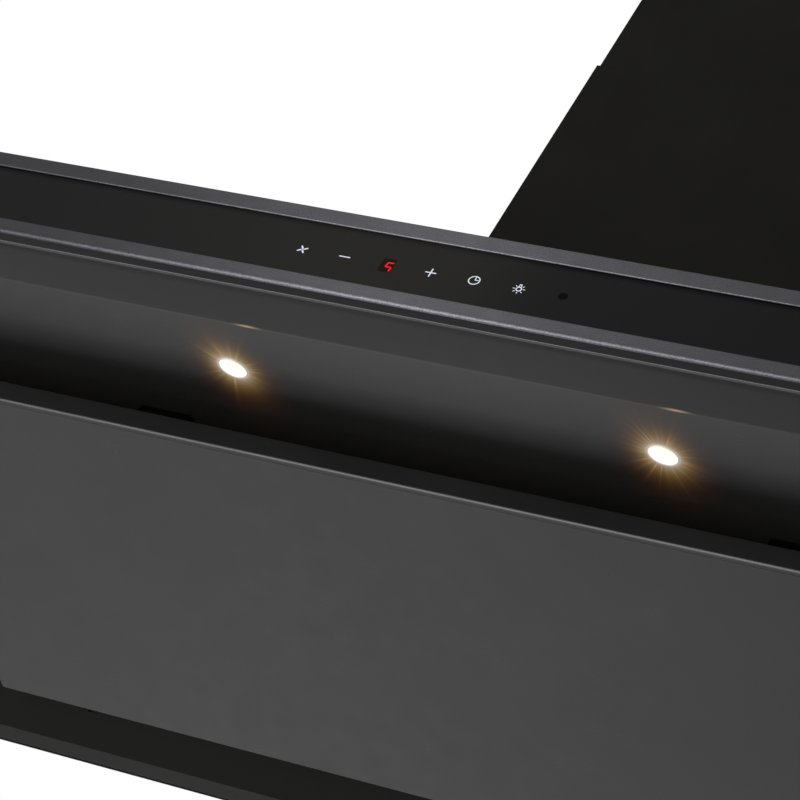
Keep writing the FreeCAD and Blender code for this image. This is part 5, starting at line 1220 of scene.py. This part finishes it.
class HOOD_OT_latch_springs(bpy.types.Operator):
    """Add the filter latches' springs"""
    bl_idname = "hood.latch_springs"
    bl_label = "Latch springs"

    def execute(self, context):
        latch_springs(bare_metal("spring_wire", (0.3, 0.3, 0.31), 0.3, 900.0, 0.002 * MM))
        return {"FINISHED"}


class HOOD_OT_stage(bpy.types.Operator):
    """Set up the camera, the studio light and the floor"""
    bl_idname = "hood.stage"
    bl_label = "Stage"

    def execute(self, context):
        scene = context.scene
        scene.view_settings.view_transform = "Standard"
        aim_camera(scene)
        surroundings(scene)
        lay_floor(scene)
        for box in SOFT_BOXES:
            soft_box(scene, *box)
        return {"FINISHED"}


class HOOD_PT_sidebar(bpy.types.Panel):
    """Lists the hood's looks and their settings"""
    bl_idname = "HOOD_PT_sidebar"
    bl_label = "Range Hood"
    bl_space_type = "VIEW_3D"
    bl_region_type = "UI"
    bl_category = "Range Hood"

    def draw(self, context):
        scene = context.scene
        for settings in (scene.hood_finish, scene.hood_symbols, scene.hood_lamps, scene.hood_stage):
            column = self.layout.column()
            for name in settings.bl_rna.properties.keys():
                if name not in ("rna_type", "name"):
                    column.prop(settings, name)
        for operator in OPERATORS:
            self.layout.operator(operator.bl_idname)


SETTINGS = {
    "hood_finish": HoodFinishSettings,
    "hood_symbols": HoodSymbolSettings,
    "hood_lamps": HoodLampSettings,
    "hood_stage": HoodStageSettings,
}
OPERATORS = (
    HOOD_OT_stage,
    HOOD_OT_finishes,
    HOOD_OT_sheet_metal,
    HOOD_OT_touch_symbols,
    HOOD_OT_speed_display,
    HOOD_OT_lamps,
    HOOD_OT_screws,
    HOOD_OT_latch_springs,
)


def register():
    for name, settings in SETTINGS.items():
        bpy.utils.register_class(settings)
        setattr(bpy.types.Scene, name, PointerProperty(type=settings))
    for operator in OPERATORS:
        bpy.utils.register_class(operator)
    bpy.utils.register_class(HOOD_PT_sidebar)


def unregister():
    bpy.utils.unregister_class(HOOD_PT_sidebar)
    for operator in reversed(OPERATORS):
        bpy.utils.unregister_class(operator)
    for name, settings in SETTINGS.items():
        delattr(bpy.types.Scene, name)
        bpy.utils.unregister_class(settings)


def main():
    register()
    bpy.ops.hood.stage()
    bpy.ops.hood.finishes()
    bpy.ops.hood.sheet_metal()
    bpy.ops.hood.touch_symbols()
    bpy.ops.hood.speed_display()
    bpy.ops.hood.lamps()
    bpy.ops.hood.screws()
    bpy.ops.hood.latch_springs()


if __name__ == "__main__":
    main()
